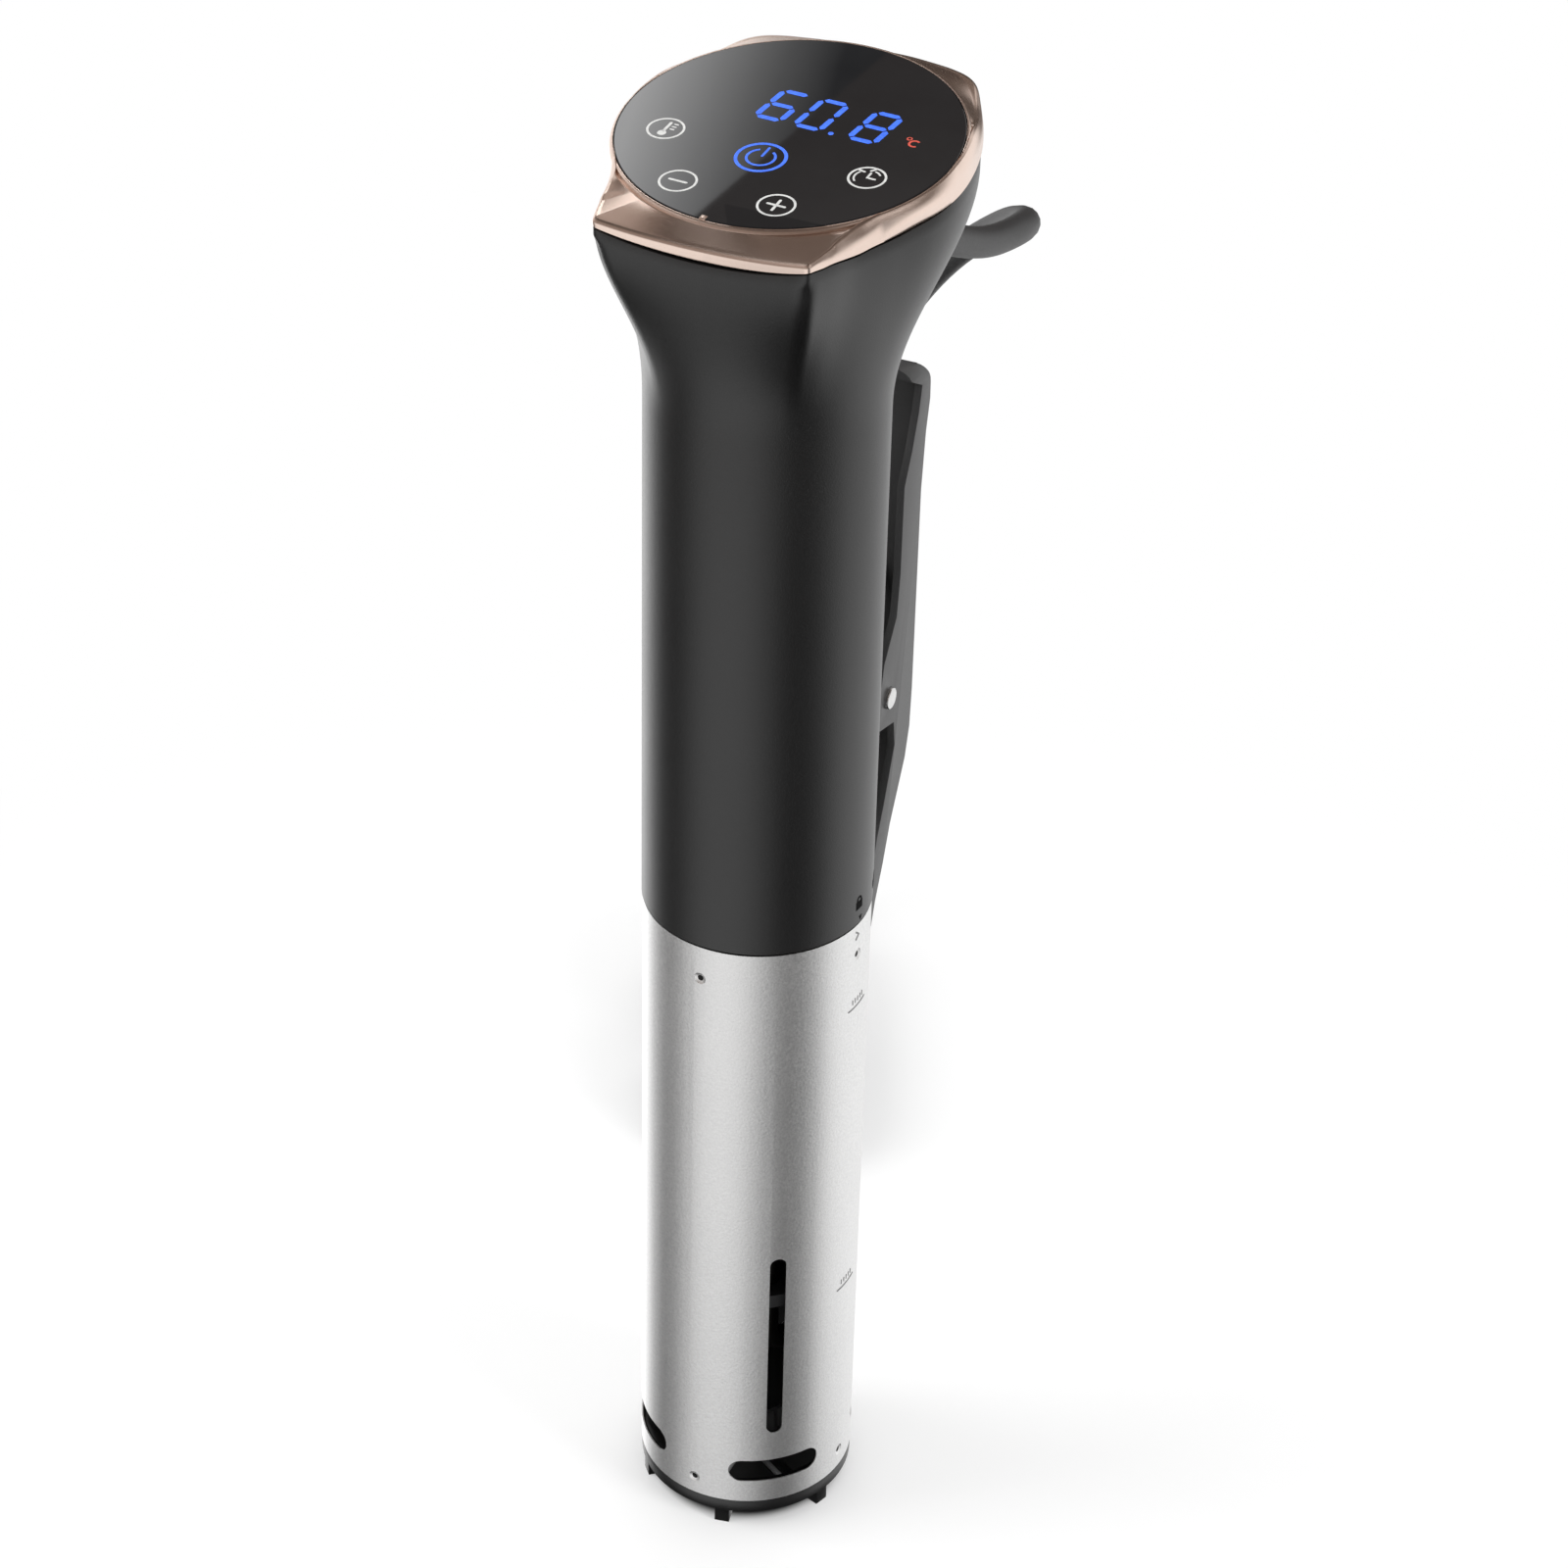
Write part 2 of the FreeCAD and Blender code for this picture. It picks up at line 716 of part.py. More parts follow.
def electronics():
    low = "Dims.motorTop + 12"
    face = 12.4
    keep("main_board", centred_box("MainBoard", 38, 1.6, 74, 0, face + 0.8, low))
    keep("transformer", centred_box("Transformer", 18, 16, 15, -8, face - 8, f"{low} + 6"))
    keep("relay", centred_box("Relay", 12, 15, 19, 11, face - 7.5, f"{low} + 5"))
    along = Rotation(Vector(1, 0, 0), 90)
    cans = []
    for x, z in ((-11, 32), (0, 32), (11, 32)):
        cans.append(cylinder("CapacitorCan", 4, 14, x, face, f"{low} + {z}", along))
    keep("capacitors", group("Capacitors", cans))
    body = new_body("heat_sink")
    comb = new_sketch(body, "XY_Plane", f"{low} + 44")
    points = [(-12, face), (-12, face - 14)]
    for fin in range(4):
        left = -12 + 5.5 * fin
        points += [(left + 2, face - 14), (left + 2, face - 3)]
        points += [(left + 5.5, face - 3), (left + 5.5, face - 14)]
    points += [(12, face - 14), (12, face)]
    polygon(comb, points)
    pad(body, comb, 18)
    keep("terminal_block", centred_box("TerminalBlock", 16, 9, 8, 0, face - 4.5, f"{low} + 65"))


# ---- display head, built level and then tilted about its centre


def display_placement():
    tilt = Rotation(Vector(1, 0, 0), dim("displayTilt"))
    return Placement(Vector(0, dim("displayBack"), dim("displayHeight")), tilt)


def tilted(node):
    nodes[node].Placement = display_placement()


touchSpots = ((-25.5, -10.3), (25.5, -10.3), (-12.4, -28.4), (12.4, -28.4), (0, -12.6))


def display():
    ring("display_glass", 0, "Dims.glassRadius", "-0.1 - Dims.glassThickness", -0.1)
    body = new_body("display_board")
    board = new_sketch(body, "XY_Plane", "-Dims.boardDepth")
    circle(board, 34)
    pad(body, board, 1.6)
    body = new_body("digit_module")
    digits = new_sketch(body, "XY_Plane", "1.6 - Dims.boardDepth")
    polygon(digits, [(-15, 0), (25, 0), (25, 17), (-15, 17)])
    pad(body, digits, "Dims.boardDepth - 1.7 - Dims.glassThickness - 0.1")
    springs = []
    for x, y in touchSpots:
        coil = cylinder("TouchSpring", 4.4, "Dims.boardDepth - 1.7 - Dims.glassThickness",
                        x, y, "1.6 - Dims.boardDepth")
        hollow = cylinder("TouchHollow", 3.6, 20, x, y, -10)
        springs.append(cut("TouchCoil", coil, [hollow]))
    keep("touch_springs", group("TouchSprings", springs))
    for node in ("display_glass", "display_board", "digit_module", "touch_springs"):
        tilted(node)


# Plan of the head's lower edge: front middle, front corner, side, back corner, back middle.
frontEdge = ((0, -36.8), (13, -37.2))
frontCorner = (26.2, -38.0)
sideEdge = ((28.8, -29.5), (31.2, -20.5), (35.6, -9.3), (39.9, 1.5), (41.4, 11), (40.4, 22), (37.2, 33))
backCorner = (30.5, 46.2)
backEdge = ((22, 51.6), (11.5, 53.8), (0, 54.2))


def blended(point, share, inset):
    """Point between the tube (share 0) and the head's plan (share 1)."""
    x, y = point
    length = math.hypot(x, y)
    radius = (1 - share) * dim("handleRadius") + share * length - inset
    return Vector(x / length * radius, y / length * radius, 0)


def head_wire(share, inset, height):
    """Closed outline of four splines that meet at the corners; height is a function of x and y."""

    def spot(point):
        flat = blended(point, share, inset)
        return Vector(flat.x, flat.y, height(flat.x, flat.y))

    def mirrored(points):
        return [(-x, y) for x, y in reversed(points)]

    def tangent(point, chord):
        x, y = point
        length = math.hypot(x, y)
        round_way = Vector(-y / length, x / length, 0)
        return round_way * (1 - share) + Vector(*chord).normalize() * share

    front = mirrored(list(frontEdge[1:]) + [frontCorner]) + list(frontEdge) + [frontCorner]
    side = [frontCorner] + list(sideEdge) + [backCorner]
    back = [backCorner] + list(backEdge) + mirrored(backEdge[:-1]) + [(-backCorner[0], backCorner[1])]
    other = mirrored(side)
    runs = []
    ends = {
        "front": ((13, 0.8, 0), (13, -0.8, 0)),
        "side": ((2.2, 8.5, 0), (-5.0, 13.0, 0)),
        "back": ((-7.0, 7.5, 0), (-7.0, -7.5, 0)),
        "other": ((-5.0, -13.0, 0), (2.2, -8.5, 0)),
    }
    for name, points in (("front", front), ("side", side), ("back", back), ("other", other)):
        begin, end = ends[name]
        curve = Part.BSplineCurve()
        placed = [spot(point) for point in points]
        first = lifted(tangent(points[0], begin), placed[0], height)
        last = lifted(tangent(points[-1], end), placed[-1], height)
        curve.interpolate(Points=placed, InitialTangent=first, FinalTangent=last)
        runs.append(curve.toShape())
    return Part.Wire(runs)


def lifted(direction, origin, height):
    """Direction in plan, raised to follow a sloping section plane."""
    step = 0.01
    ahead = origin + direction * step
    rise = height(ahead.x, ahead.y) - height(origin.x, origin.y)
    return Vector(direction.x, direction.y, rise / step)


def flare_levels():
    """Section planes from the straight tube up to the head: (share, height function)."""
    start = dim("flareStart")
    finish = dim("flareFinish")
    start_lean = math.tan(math.radians(dim("flareStartLean")))
    tilt = math.tan(math.radians(dim("displayTilt")))
    levels = [(0.0, lambda x, y: dim("seamHeight"))]
    for step in (0.0, 0.1, 0.2, 0.3, 0.4, 0.5, 0.6, 0.7, 0.8, 0.9, 1.0):
        eased = step ** 1.12
        share = eased * eased * (3 - 2 * eased)
        base = start + (finish - start) * step
        lean = start_lean * (1 - step)
        levels.append((share, lambda x, y, base=base, lean=lean: base + lean * y))
    top = dim("displayHeight") + 2 - dim("displayBack") * tilt
    levels.append((1.0, lambda x, y: top + tilt * y))
    return levels


def head_loft(name, inset):
    """Head and handle in one, as a stack of sections; inset makes the inside of the wall."""
    wires = []
    for share, height in flare_levels():
        extra = inset * (1 + 0.2 * share)
        wires.append(solid(f"{name}Section", head_wire(share, extra, height)))
    loft = doc.addObject("Part::Loft", name)
    loft.Sections = wires
    loft.Solid = True
    loft.Ruled = True
    return loft


# Lower edge of the bezel seen from the side, as (distance up the display, depth below its plane).
rimSide = (
    (-70, 1.0), (-56, 1.6), (-47.5, 3.0), (-42, 4.1), (-30, 7.0), (-18, 8.0), (0, 8.2),
    (18, 8.0), (27, 7.0), (33, 5.5), (38, 4.4), (46, 4.6), (70, 5.0),
)
rimFrontRadius = 90.0
rimFrontDepth = 6.8


def rim_prism(name, above):
    """Half space above or below the wavy joint between housing and bezel, as seen from the side."""
    far = 60.0 if above else -260.0
    points = [Vector(-70, up, -depth) for up, depth in rimSide]
    curve = Part.BSplineCurve()
    curve.interpolate(Points=points)
    loop = [points[-1], Vector(-70, 70, far), Vector(-70, -70, far), points[0]]
    lines = [Part.LineSegment(a, b).toShape() for a, b in zip(loop, loop[1:])]
    face = Part.Face(Part.Wire([curve.toShape()] + lines))
    outline = solid(name + "Outline", face, display_placement())
    prism = doc.addObject("Part::Extrusion", name)
    prism.Base = outline
    prism.Dir = Vector(1, 0, 0)
    prism.Solid = True
    bind(prism, "LengthFwd", 140)
    return prism


def rim_arch(name):
    """Drum whose underside gives the bezel's front edge its droop between the corners."""
    drum = doc.addObject("Part::Cylinder", name)
    bind(drum, "Radius", rimFrontRadius)
    bind(drum, "Height", 140)
    lay = Placement(Vector(0, -70, rimFrontRadius - rimFrontDepth), Rotation(Vector(1, 0, 0), -90))
    drum.Placement = display_placement().multiply(lay)
    return drum


def display_rod(name, radius, low, high):
    """Round piece square to the display, between two depths below its plane."""
    rod = doc.addObject("Part::Cylinder", name)
    bind(rod, "Radius", radius)
    bind(rod, "Height", f"({high}) - ({low})")
    rod.Placement = display_placement().multiply(Placement(Vector(0, 0, value(low)), Rotation()))
    return rod


def display_slab(name, low, high):
    """Flat block across the whole head, between two depths below the display plane."""
    slab = doc.addObject("Part::Box", name)
    bind(slab, "Length", 160)
    bind(slab, "Width", 160)
    bind(slab, "Height", f"({high}) - ({low})")
    slab.Placement = display_placement().multiply(Placement(Vector(-80, -80, value(low)), Rotation()))
    return slab


def exit_placement(shift=0.0):
    """Where the cord leaves the housing: +Z runs out along the cord."""
    drop = math.radians(dim("exitDrop"))
    out = Vector(0, math.cos(drop), -math.sin(drop))
    base = Vector(0, dim("exitBack"), dim("exitHeight")) + out * shift
    return Placement(base, Rotation(Vector(0, 0, 1), out))


def placed_rod(name, radius, length, placement):
    item = doc.addObject("Part::Cylinder", name)
    bind(item, "Radius", radius)
    bind(item, "Height", length)
    item.Placement = placement
    return item


def housing():
    shell = cut("HeadShell", head_loft("HeadOutside", 0.0), [head_loft("HeadInside", dim("handleWall"))])
    above = fuse("AboveRim", [rim_prism("AboveSide", True), rim_arch("AboveFront")])
    shell = cut("OpenShell", shell, [above])
    shell = cut("CordHole", shell, [placed_rod("ExitHole", glandNeck, 24, exit_placement(-16))])
    back = Rotation(Vector(1, 0, 0), -90)
    for height in bracketScrews:
        shell = cut("HandleHousing", shell, [cylinder("ScrewHole", screwRadius, 20, 0, 20, height, back)])
    keep("handle_housing", shell)


def bezel():
    """Rose-gold collar: corner plate with a round rim that holds the glass."""
    below = cut("BelowRim", rim_prism("BelowSide", False), [rim_arch("BelowFront")])
    plate = cut(
        "BezelPlate",
        head_loft("BezelOutside", 0.0),
        [below, display_slab("OverPlate", "-Dims.rimHeight", 20)],
    )
    cavity = doc.addObject("Part::Common", "BezelCavity")
    cavity.Base = head_loft("BezelInside", dim("handleWall"))
    cavity.Tool = display_slab("UnderShelf", -80, "-Dims.rimHeight - 1.8")
    plate = cut("BezelWall", plate, [cavity])
    rim = display_rod("BezelRim", "Dims.rimRadius", "-Dims.rimHeight - 1", -0.2)
    collar = fuse("BezelCollar", [plate, rim])
    seat = "-0.1 - Dims.glassThickness"
    tools = [
        display_rod("GlassSeat", "Dims.glassRadius + 0.05", seat, 5),
        display_rod("GlassOpening", "Dims.bezelOpening", -20, 5),
    ]
    keep("bezel", cut("Bezel", collar, tools))


# ---- clip behind the handle

bracketScrews = (211.0, 246.0)
screwRadius = 1.6


def side_profile(node, points, width):
    """Body cut from a side view (distance back, height) and centred on the middle plane."""
    body = new_body(node)
    sketch = new_sketch(body, "YZ_Plane")
    polygon(sketch, points)
    pad(body, sketch, width, both_ways=True)
    return body


def clip_lever():
    """Moulded channel, open towards the handle: thumb part above the pivot, jaw below."""
    back = [
        (57.5, 316.4), (60.4, 314.4), (62.0, 311), (62.2, 305), (60.4, 296.5), (58.9, 280.6), (58.6, 250),
        (58.8, 222.9), (58.2, 211.4), (56.0, 203), (52.6, 196.4), (47.7, 187.1), (44, 177),
        (39.7, 167.3), (37.6, 160.6),
    ]
    front = [
        (31.4, 160), (34, 170), (39.3, 187.5), (43, 196), (48.5, 211), (47.4, 218.5), (37.6, 220.9),
        (37.5, 232), (39.4, 239.9), (46.3, 250.3), (47.6, 262), (47.8, 286.6), (51.9, 295.1),
        (55.2, 304.4), (56.6, 311), (52, 313.6), (52, 316.4),
    ]
    body = side_profile("clip_lever", back + front, "2 * Dims.leverHalfWidth")
    channel = new_sketch(body, "YZ_Plane")
    wall = dim("leverWall")
    hollow = [
        (59.8, 305.2), (58.1, 296.7), (58.9 - wall, 280.7), (58.6 - wall, 250), (58.8 - wall, 223),
        (58.2 - wall, 212), (53.9, 204), (48, 192.5), (20, 192.5), (20, 312.6), (58.2, 312.6),
    ]
    polygon(channel, hollow)
    pocket(body, channel, "2 * (Dims.leverHalfWidth - 2)", both_ways=True)
    bore = new_sketch(body, "YZ_Plane")
    circle(bore, "Dims.pinRadius + Dims.runningFit", "Dims.pivotBack", "Dims.pivotHeight")
    pocket(body, bore, 60, both_ways=True)


def clip_pad():
    pad_face = 29.5
    points = [(pad_face, 161.5), (31.79, 161.5), (34, 170), (34.909, 173), (31.4, 173.8), (pad_face, 168)]
    side_profile("clip_pad", points, 24)


def clip_spring():
    """Torsion spring on the pin: touching turns with one leg along the lever's back wall."""
    across = Rotation(Vector(0, 1, 0), 90)
    turns = []
    for turn in range(9):
        coil = doc.addObject("Part::Torus", "SpringTurn")
        bind(coil, "Radius1", "Dims.pinRadius + 1.5")
        bind(coil, "Radius2", 0.8)
        turns.append(place(coil, -6 + 1.5 * turn, "Dims.pivotBack", "Dims.pivotHeight", across))
    lean = Rotation(Vector(1, 0, 0), -15.5)
    turns.append(cylinder("SpringLeg", 0.8, 30, 6, "Dims.pivotBack + 4.0", "Dims.pivotHeight + 1.8", lean))
    short = Rotation(Vector(1, 0, 0), -180 - 10)
    turns.append(cylinder("SpringTail", 0.8, 9, -6, "Dims.pivotBack - 4.3", "Dims.pivotHeight", short))
    keep("clip_spring", fuse("ClipSpring", turns))


def clip_bracket():
    """Saddle screwed to the housing, with two ears that carry the pin."""
    block = centred_box("BracketBlock", 24, 14, 52, 0, 27, 203)
    ears = [
        centred_box("BracketEar", "Dims.earThickness", 16, 24, f"{side} * Dims.earSpread", 37.5,
                    "Dims.pivotHeight - 12")
        for side in (-1, 1)
    ]
    across = Rotation(Vector(0, 1, 0), 90)
    tops = [
        cylinder("EarTop", 5.5, "Dims.earThickness", f"{side} * Dims.earSpread - Dims.earThickness / 2",
                 "Dims.pivotBack", "Dims.pivotHeight", across)
        for side in (-1, 1)
    ]
    tools = [
        cylinder("BracketSeat", "Dims.handleRadius + Dims.seatGap", 200, z=150),
        cylinder("PinBore", "Dims.pinRadius", 40, -20, "Dims.pivotBack", "Dims.pivotHeight", across),
    ]
    along = Rotation(Vector(1, 0, 0), -90)
    screws = []
    for height in bracketScrews:
        tools.append(cylinder("BracketHole", screwRadius, 30, 0, 15, height, along))
        shank = cylinder("ScrewShank", screwRadius, 10, 0, 25, height, along)
        head = cylinder("ScrewHead", 2.8, 1.8, 0, 34, height, along)
        screws.append(fuse("BracketScrew", [shank, head]))
    keep("clip_bracket", cut("ClipBracket", fuse("BracketSolid", [block] + ears + tops), tools))
    keep("bracket_screws", group("BracketScrews", screws))
    reach = "Dims.leverHalfWidth + 1"
    keep(
        "clip_pin",
        cylinder("ClipPin", "Dims.pinRadius", f"2 * ({reach})", f"-({reach})", "Dims.pivotBack",
                 "Dims.pivotHeight", across),
    )


# ---- mains lead

glandNeck = 6.5
plugLow = 18.5
plugLeft = -30.5
plugLength = 36.0
plugWidth = 26.0
plugHeight = 20.0
bladeSpread = 6.35
bladeThickness = 1.5


def cord_gland():
    """Neck through the wall, collar on it and a tapered boot, with the cord's end inside."""
    neck = placed_rod("GlandNeck", glandNeck, 12, exit_placement(-12))
    nut = placed_rod("GlandNut", 8.5, 3, exit_placement(-9))
    collar = placed_rod("GlandCollar", 8.2, 3.2, exit_placement(-0.6))
    boot = doc.addObject("Part::Cone", "GlandBoot")
    bind(boot, "Radius1", 6.8)
    bind(boot, "Radius2", "Dims.cordRadius + 0.75")
    bind(boot, "Height", "Dims.glandLength")
    boot.Placement = exit_placement()
    keep("cord_gland", fuse("CordGland", [neck, collar, boot, nut]))


def floor_point(away, lateral, height):
    """Point behind the object, in the directions that the coil lies along."""
    turn = math.radians(dim("restAngle"))
    ahead = Vector(-math.sin(turn), math.cos(turn), 0)
    beside = Vector(math.cos(turn), math.sin(turn), 0)
    return ahead * away + beside * lateral + Vector(0, 0, height)


coilLayers = (5.65, 14.15, 22.65)

fallPoints = (
    (0, 108, 325), (0, 140, 310.5), (0, 172, 304), (-18, 197, 290), (-44, 213, 264), (-66, 222, 228),
)
landing = (
    (242, 21.7, 187), (256, 18.5, 146), (268, 17, 104), (276, 18.5, 66), (276.2, 20.5, 45),
    (269.2, 22.5, 27), (255.5, 24.3, 13), (238, 25.5, 5.65), (218.5, 25.5, 5.65),
)


def cord_route():
    start = exit_placement(dim("glandLength")).Base
    return [start] + [Vector(*point) for point in fallPoints] + [floor_point(*spot) for spot in landing]


def power_cord():
    """Straight runs joined by arcs that touch them, each as large as its runs allow."""
    route = cord_route()
    edges = []
    last = route[0]
    for before, corner, after in zip(route, route[1:], route[2:]):
        arriving = (corner - before).normalize()
        leaving = (after - corner).normalize()
        turn = arriving.getAngle(leaving)
        reach = 0.45 * min((corner - before).Length, (after - corner).Length)
        radius = reach / math.tan(turn / 2)
        entry = corner - arriving * reach
        exit_point = corner + leaving * reach
        inward = (leaving - arriving).normalize()
        middle = corner + inward * (radius / math.cos(turn / 2) - radius)
        print(f"cord turn {math.degrees(turn):5.1f} deg, radius {radius:6.1f} mm")
        edges.append(Part.LineSegment(last, entry).toShape())
        edges.append(Part.Arc(entry, middle, exit_point).toShape())
        last = exit_point
    edges.append(Part.LineSegment(last, route[-1]).toShape())
    tube = swept(edges, dim("cordRadius"), route[0], (route[1] - route[0]).normalize())
    length = sum(edge.Length for edge in edges)
    expected = math.pi * dim("cordRadius") ** 2 * length
    print(f"cord tube length {length:.0f} mm, volume share {tube.Volume / expected:.4f}")
    keep("power_cord", solid("CordTube", tube))


def oval(name, radius, low, height):
    """Upright solid with two straight sides and round ends, lying along the coil."""
    turn = Rotation(Vector(0, 0, 1), dim("restAngle"))
    half = dim("coilStraight") / 2
    items = []
    for away in (dim("coilDistance") - half, dim("coilDistance") + half):
        spot = floor_point(away, 0, low)
        items.append(cylinder(name + "End", radius, height, spot.x, spot.y, spot.z))
    corner = floor_point(dim("coilDistance") - half, -value(radius), low)
    middle = box(name + "Middle", f"2 * ({radius})", "Dims.coilStraight", height,
                 corner.x, corner.y, corner.z, turn)
    return fuse(name, items + [middle])


def floor_box(name, away, lateral, low, length, width, height):
    """Box that lies along the coil, from its near left lower corner."""
    corner = floor_point(away, lateral, low)
    turn = Rotation(Vector(0, 0, 1), dim("restAngle"))
    return box(name, width, length, height, corner.x, corner.y, corner.z, turn)


def cord_coil():
    """Outer shape of the tied hank: two full layers and most of a third that ends at the plug."""
    low = coilLayers[0] - dim("cordRadius")
    height = coilLayers[-1] + dim("cordRadius") - low
    outer = oval("HankOutside", "Dims.coilRadius + Dims.cordRadius", low, height)
    inner = oval("HankInside", "Dims.coilRadius - Dims.cordRadius", low - 5, height + 10)
    step = floor_box("HankStep", plug_start(), -40, coilLayers[1] + dim("cordRadius"), 60, 32, 40)
    keep("cord_coil", cut("CordHank", outer, [inner, step]))


def plug_start():
    return dim("coilDistance") + 5


def cord_tie():
    """Strap round the three strands of the left run."""
    low = coilLayers[0] - dim("cordRadius")
    height = coilLayers[-1] + dim("cordRadius") - low
    skin = dim("tieThickness")
    left = -dim("coilRadius") - dim("cordRadius")
    width = 2 * dim("cordRadius")
    away = dim("coilDistance") - 26
    outside = floor_box("TieOutside", away, left - skin, low - skin, 12, width + 2 * skin, height + 2 * skin)
    inside = floor_box("TieInside", away - 5, left, low, 30, width, height)
    keep("cord_tie", cut("CordTie", outside, [inside]))


def plug():
    """Moulded plug on the hank, with two flat blades and a round earth pin."""
    body = floor_box("PlugBody", plug_start(), plugLeft, plugLow, plugLength, plugWidth, plugHeight)
    keep("plug_body", body)
    middle = plugLeft + plugWidth / 2
    face = plug_start() + plugLength
    blades = [
        floor_box("PlugBlade", face, middle + side * bladeSpread - bladeThickness / 2, plugLow + 6,
                  16, bladeThickness, 6.3)
        for side in (-1, 1)
    ]
    ahead = floor_point(1, 0, 0)
    spot = floor_point(face, middle, plugLow + 15.6)
    earth = placed_rod("PlugEarth", 2.35, 20, Placement(spot, Rotation(Vector(0, 0, 1), ahead)))
    keep("plug_pins", group("PlugPins", blades + [earth]))


# ---- all sub-parts

subParts = (
    steel_sleeve, bayonet_ring, foot_cap, bulkhead, seals, heating_element, probes, lower_guide,
    thermal_cutout, motor, drive_line, impeller, motor_mount, board_frame, electronics, display,
    housing, bezel, clip_lever, clip_pad, clip_spring, clip_bracket, cord_gland, power_cord,
    cord_coil, cord_tie, plug,
)
for make in subParts:
    make()
doc.recompute()
for item in doc.Objects:
    if "Invalid" in item.State or "Error" in item.State:
        raise RuntimeError(f"{item.Label} failed: {item.State}")
for node, item in nodes.items():
    if item.Shape.isNull() or not item.Shape.isValid():
        raise RuntimeError(f"{node} has no valid shape")
os.makedirs("parts", exist_ok=True)
for node, item in nodes.items():
    item.Shape.exportStep(f"parts/{node}.step")
    bounds = item.Shape.BoundBox
    print(f"{node:18s} {len(item.Shape.Solids)} solids {item.Shape.Volume:9.1f} mm3,"
          f" Z {bounds.ZMin:.1f} to {bounds.ZMax:.1f}")
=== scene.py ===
import json
from math import atan2, copysign, cos, dist, hypot, pi, radians, sin, sqrt, tan, tau

import bpy
from mathutils import Euler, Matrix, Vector


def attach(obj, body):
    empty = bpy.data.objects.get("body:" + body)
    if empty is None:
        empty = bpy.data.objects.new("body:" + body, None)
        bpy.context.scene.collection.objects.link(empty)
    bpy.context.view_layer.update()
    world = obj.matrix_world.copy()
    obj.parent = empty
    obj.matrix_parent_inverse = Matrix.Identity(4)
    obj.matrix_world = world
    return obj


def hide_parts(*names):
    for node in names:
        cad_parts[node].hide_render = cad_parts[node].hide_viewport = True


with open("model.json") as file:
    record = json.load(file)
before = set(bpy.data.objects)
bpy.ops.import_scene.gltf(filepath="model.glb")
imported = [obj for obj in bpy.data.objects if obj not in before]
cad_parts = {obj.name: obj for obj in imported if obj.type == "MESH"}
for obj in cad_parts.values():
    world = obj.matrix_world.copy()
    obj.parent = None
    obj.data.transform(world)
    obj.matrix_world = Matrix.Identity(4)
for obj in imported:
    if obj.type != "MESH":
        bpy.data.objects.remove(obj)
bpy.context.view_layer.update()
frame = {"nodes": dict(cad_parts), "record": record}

mm = 0.001
weldGap = 0.002 * mm
flatAngle = radians(1)

# picking, shaping and finishing pieces


def doneEditing():
    bpy.ops.object.mode_set(mode="OBJECT")


def activate(piece):
    bpy.ops.object.select_all(action="DESELECT")
    piece.select_set(True)
    bpy.context.view_layer.objects.active = piece


def justAdded(name):
    piece = bpy.context.object
    piece.name = piece.data.name = name
    return piece


def editAll(action="SELECT"):
    bpy.ops.object.mode_set(mode="EDIT")
    bpy.ops.mesh.select_all(action=action)


def bakePlace(piece):
    activate(piece)
    bpy.ops.object.transform_apply(location=True, rotation=True, scale=True)


def softened(piece, width, segments, angle=30):
    # edges that turn by more than the angle are rounded
    activate(piece)
    bevel = piece.modifiers.new("bevel", "BEVEL")
    bevel.width, bevel.segments = width * mm, segments
    bevel.limit_method, bevel.angle_limit = "ANGLE", radians(angle)
    bevel.use_clamp_overlap = True
    bpy.ops.object.modifier_apply(modifier=bevel.name)


def cutAcross(piece, axis, places):
    # cuts the piece across an axis at these places in millimetres
    activate(piece)
    editAll()
    for place in places:
        bpy.ops.mesh.select_all(action="SELECT")
        bpy.ops.mesh.bisect(plane_co=Vector(axis) * place * mm, plane_no=axis)
    doneEditing()


def mended(piece):
    # doubles merged and faces turned outwards
    activate(piece)
    editAll()
    bpy.ops.mesh.remove_doubles(threshold=weldGap)
    bpy.ops.mesh.normals_make_consistent(inside=False)
    doneEditing()


def copyOfNode(node, name):
    # merged copy of a CAD node, with its flat faces made whole again
    activate(frame["nodes"][node])
    bpy.ops.object.duplicate()
    piece = justAdded(name)
    for key in list(piece.keys()):
        del piece[key]
    piece.parent = None
    mended(piece)
    editAll()
    bpy.ops.mesh.dissolve_limited(angle_limit=flatAngle)
    doneEditing()
    return piece


def dressed(piece, finish):
    piece.data.materials.clear()
    piece.data.materials.append(finishes[finish])


def finishPiece(piece, body, slot, replaced=(), finish=None, smooth=30):
    activate(piece)
    dressed(piece, finish or slotFinish[slot])
    bpy.ops.object.shade_smooth_by_angle(angle=radians(smooth))
    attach(piece, body)
    if replaced:
        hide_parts(*replaced)


def added(kind, name, **settings):
    getattr(bpy.ops.mesh, "primitive_" + kind + "_add")(**settings)
    piece = justAdded(name)
    bakePlace(piece)
    return piece


def placeVertices(piece, spots):
    for vertex, spot in zip(piece.data.vertices, spots):
        vertex.co = spot


def rolledGrid(name, rings):
    # a grid whose rows are laid on closed rings of points in millimetres, then welded at the seam
    piece = added("grid", name, x_subdivisions=len(rings[0]), y_subdivisions=len(rings) - 1, size=1)
    placeVertices(piece, [Vector(spot) * mm for ring in rings for spot in list(ring) + [ring[0]]])
    mended(piece)
    return piece


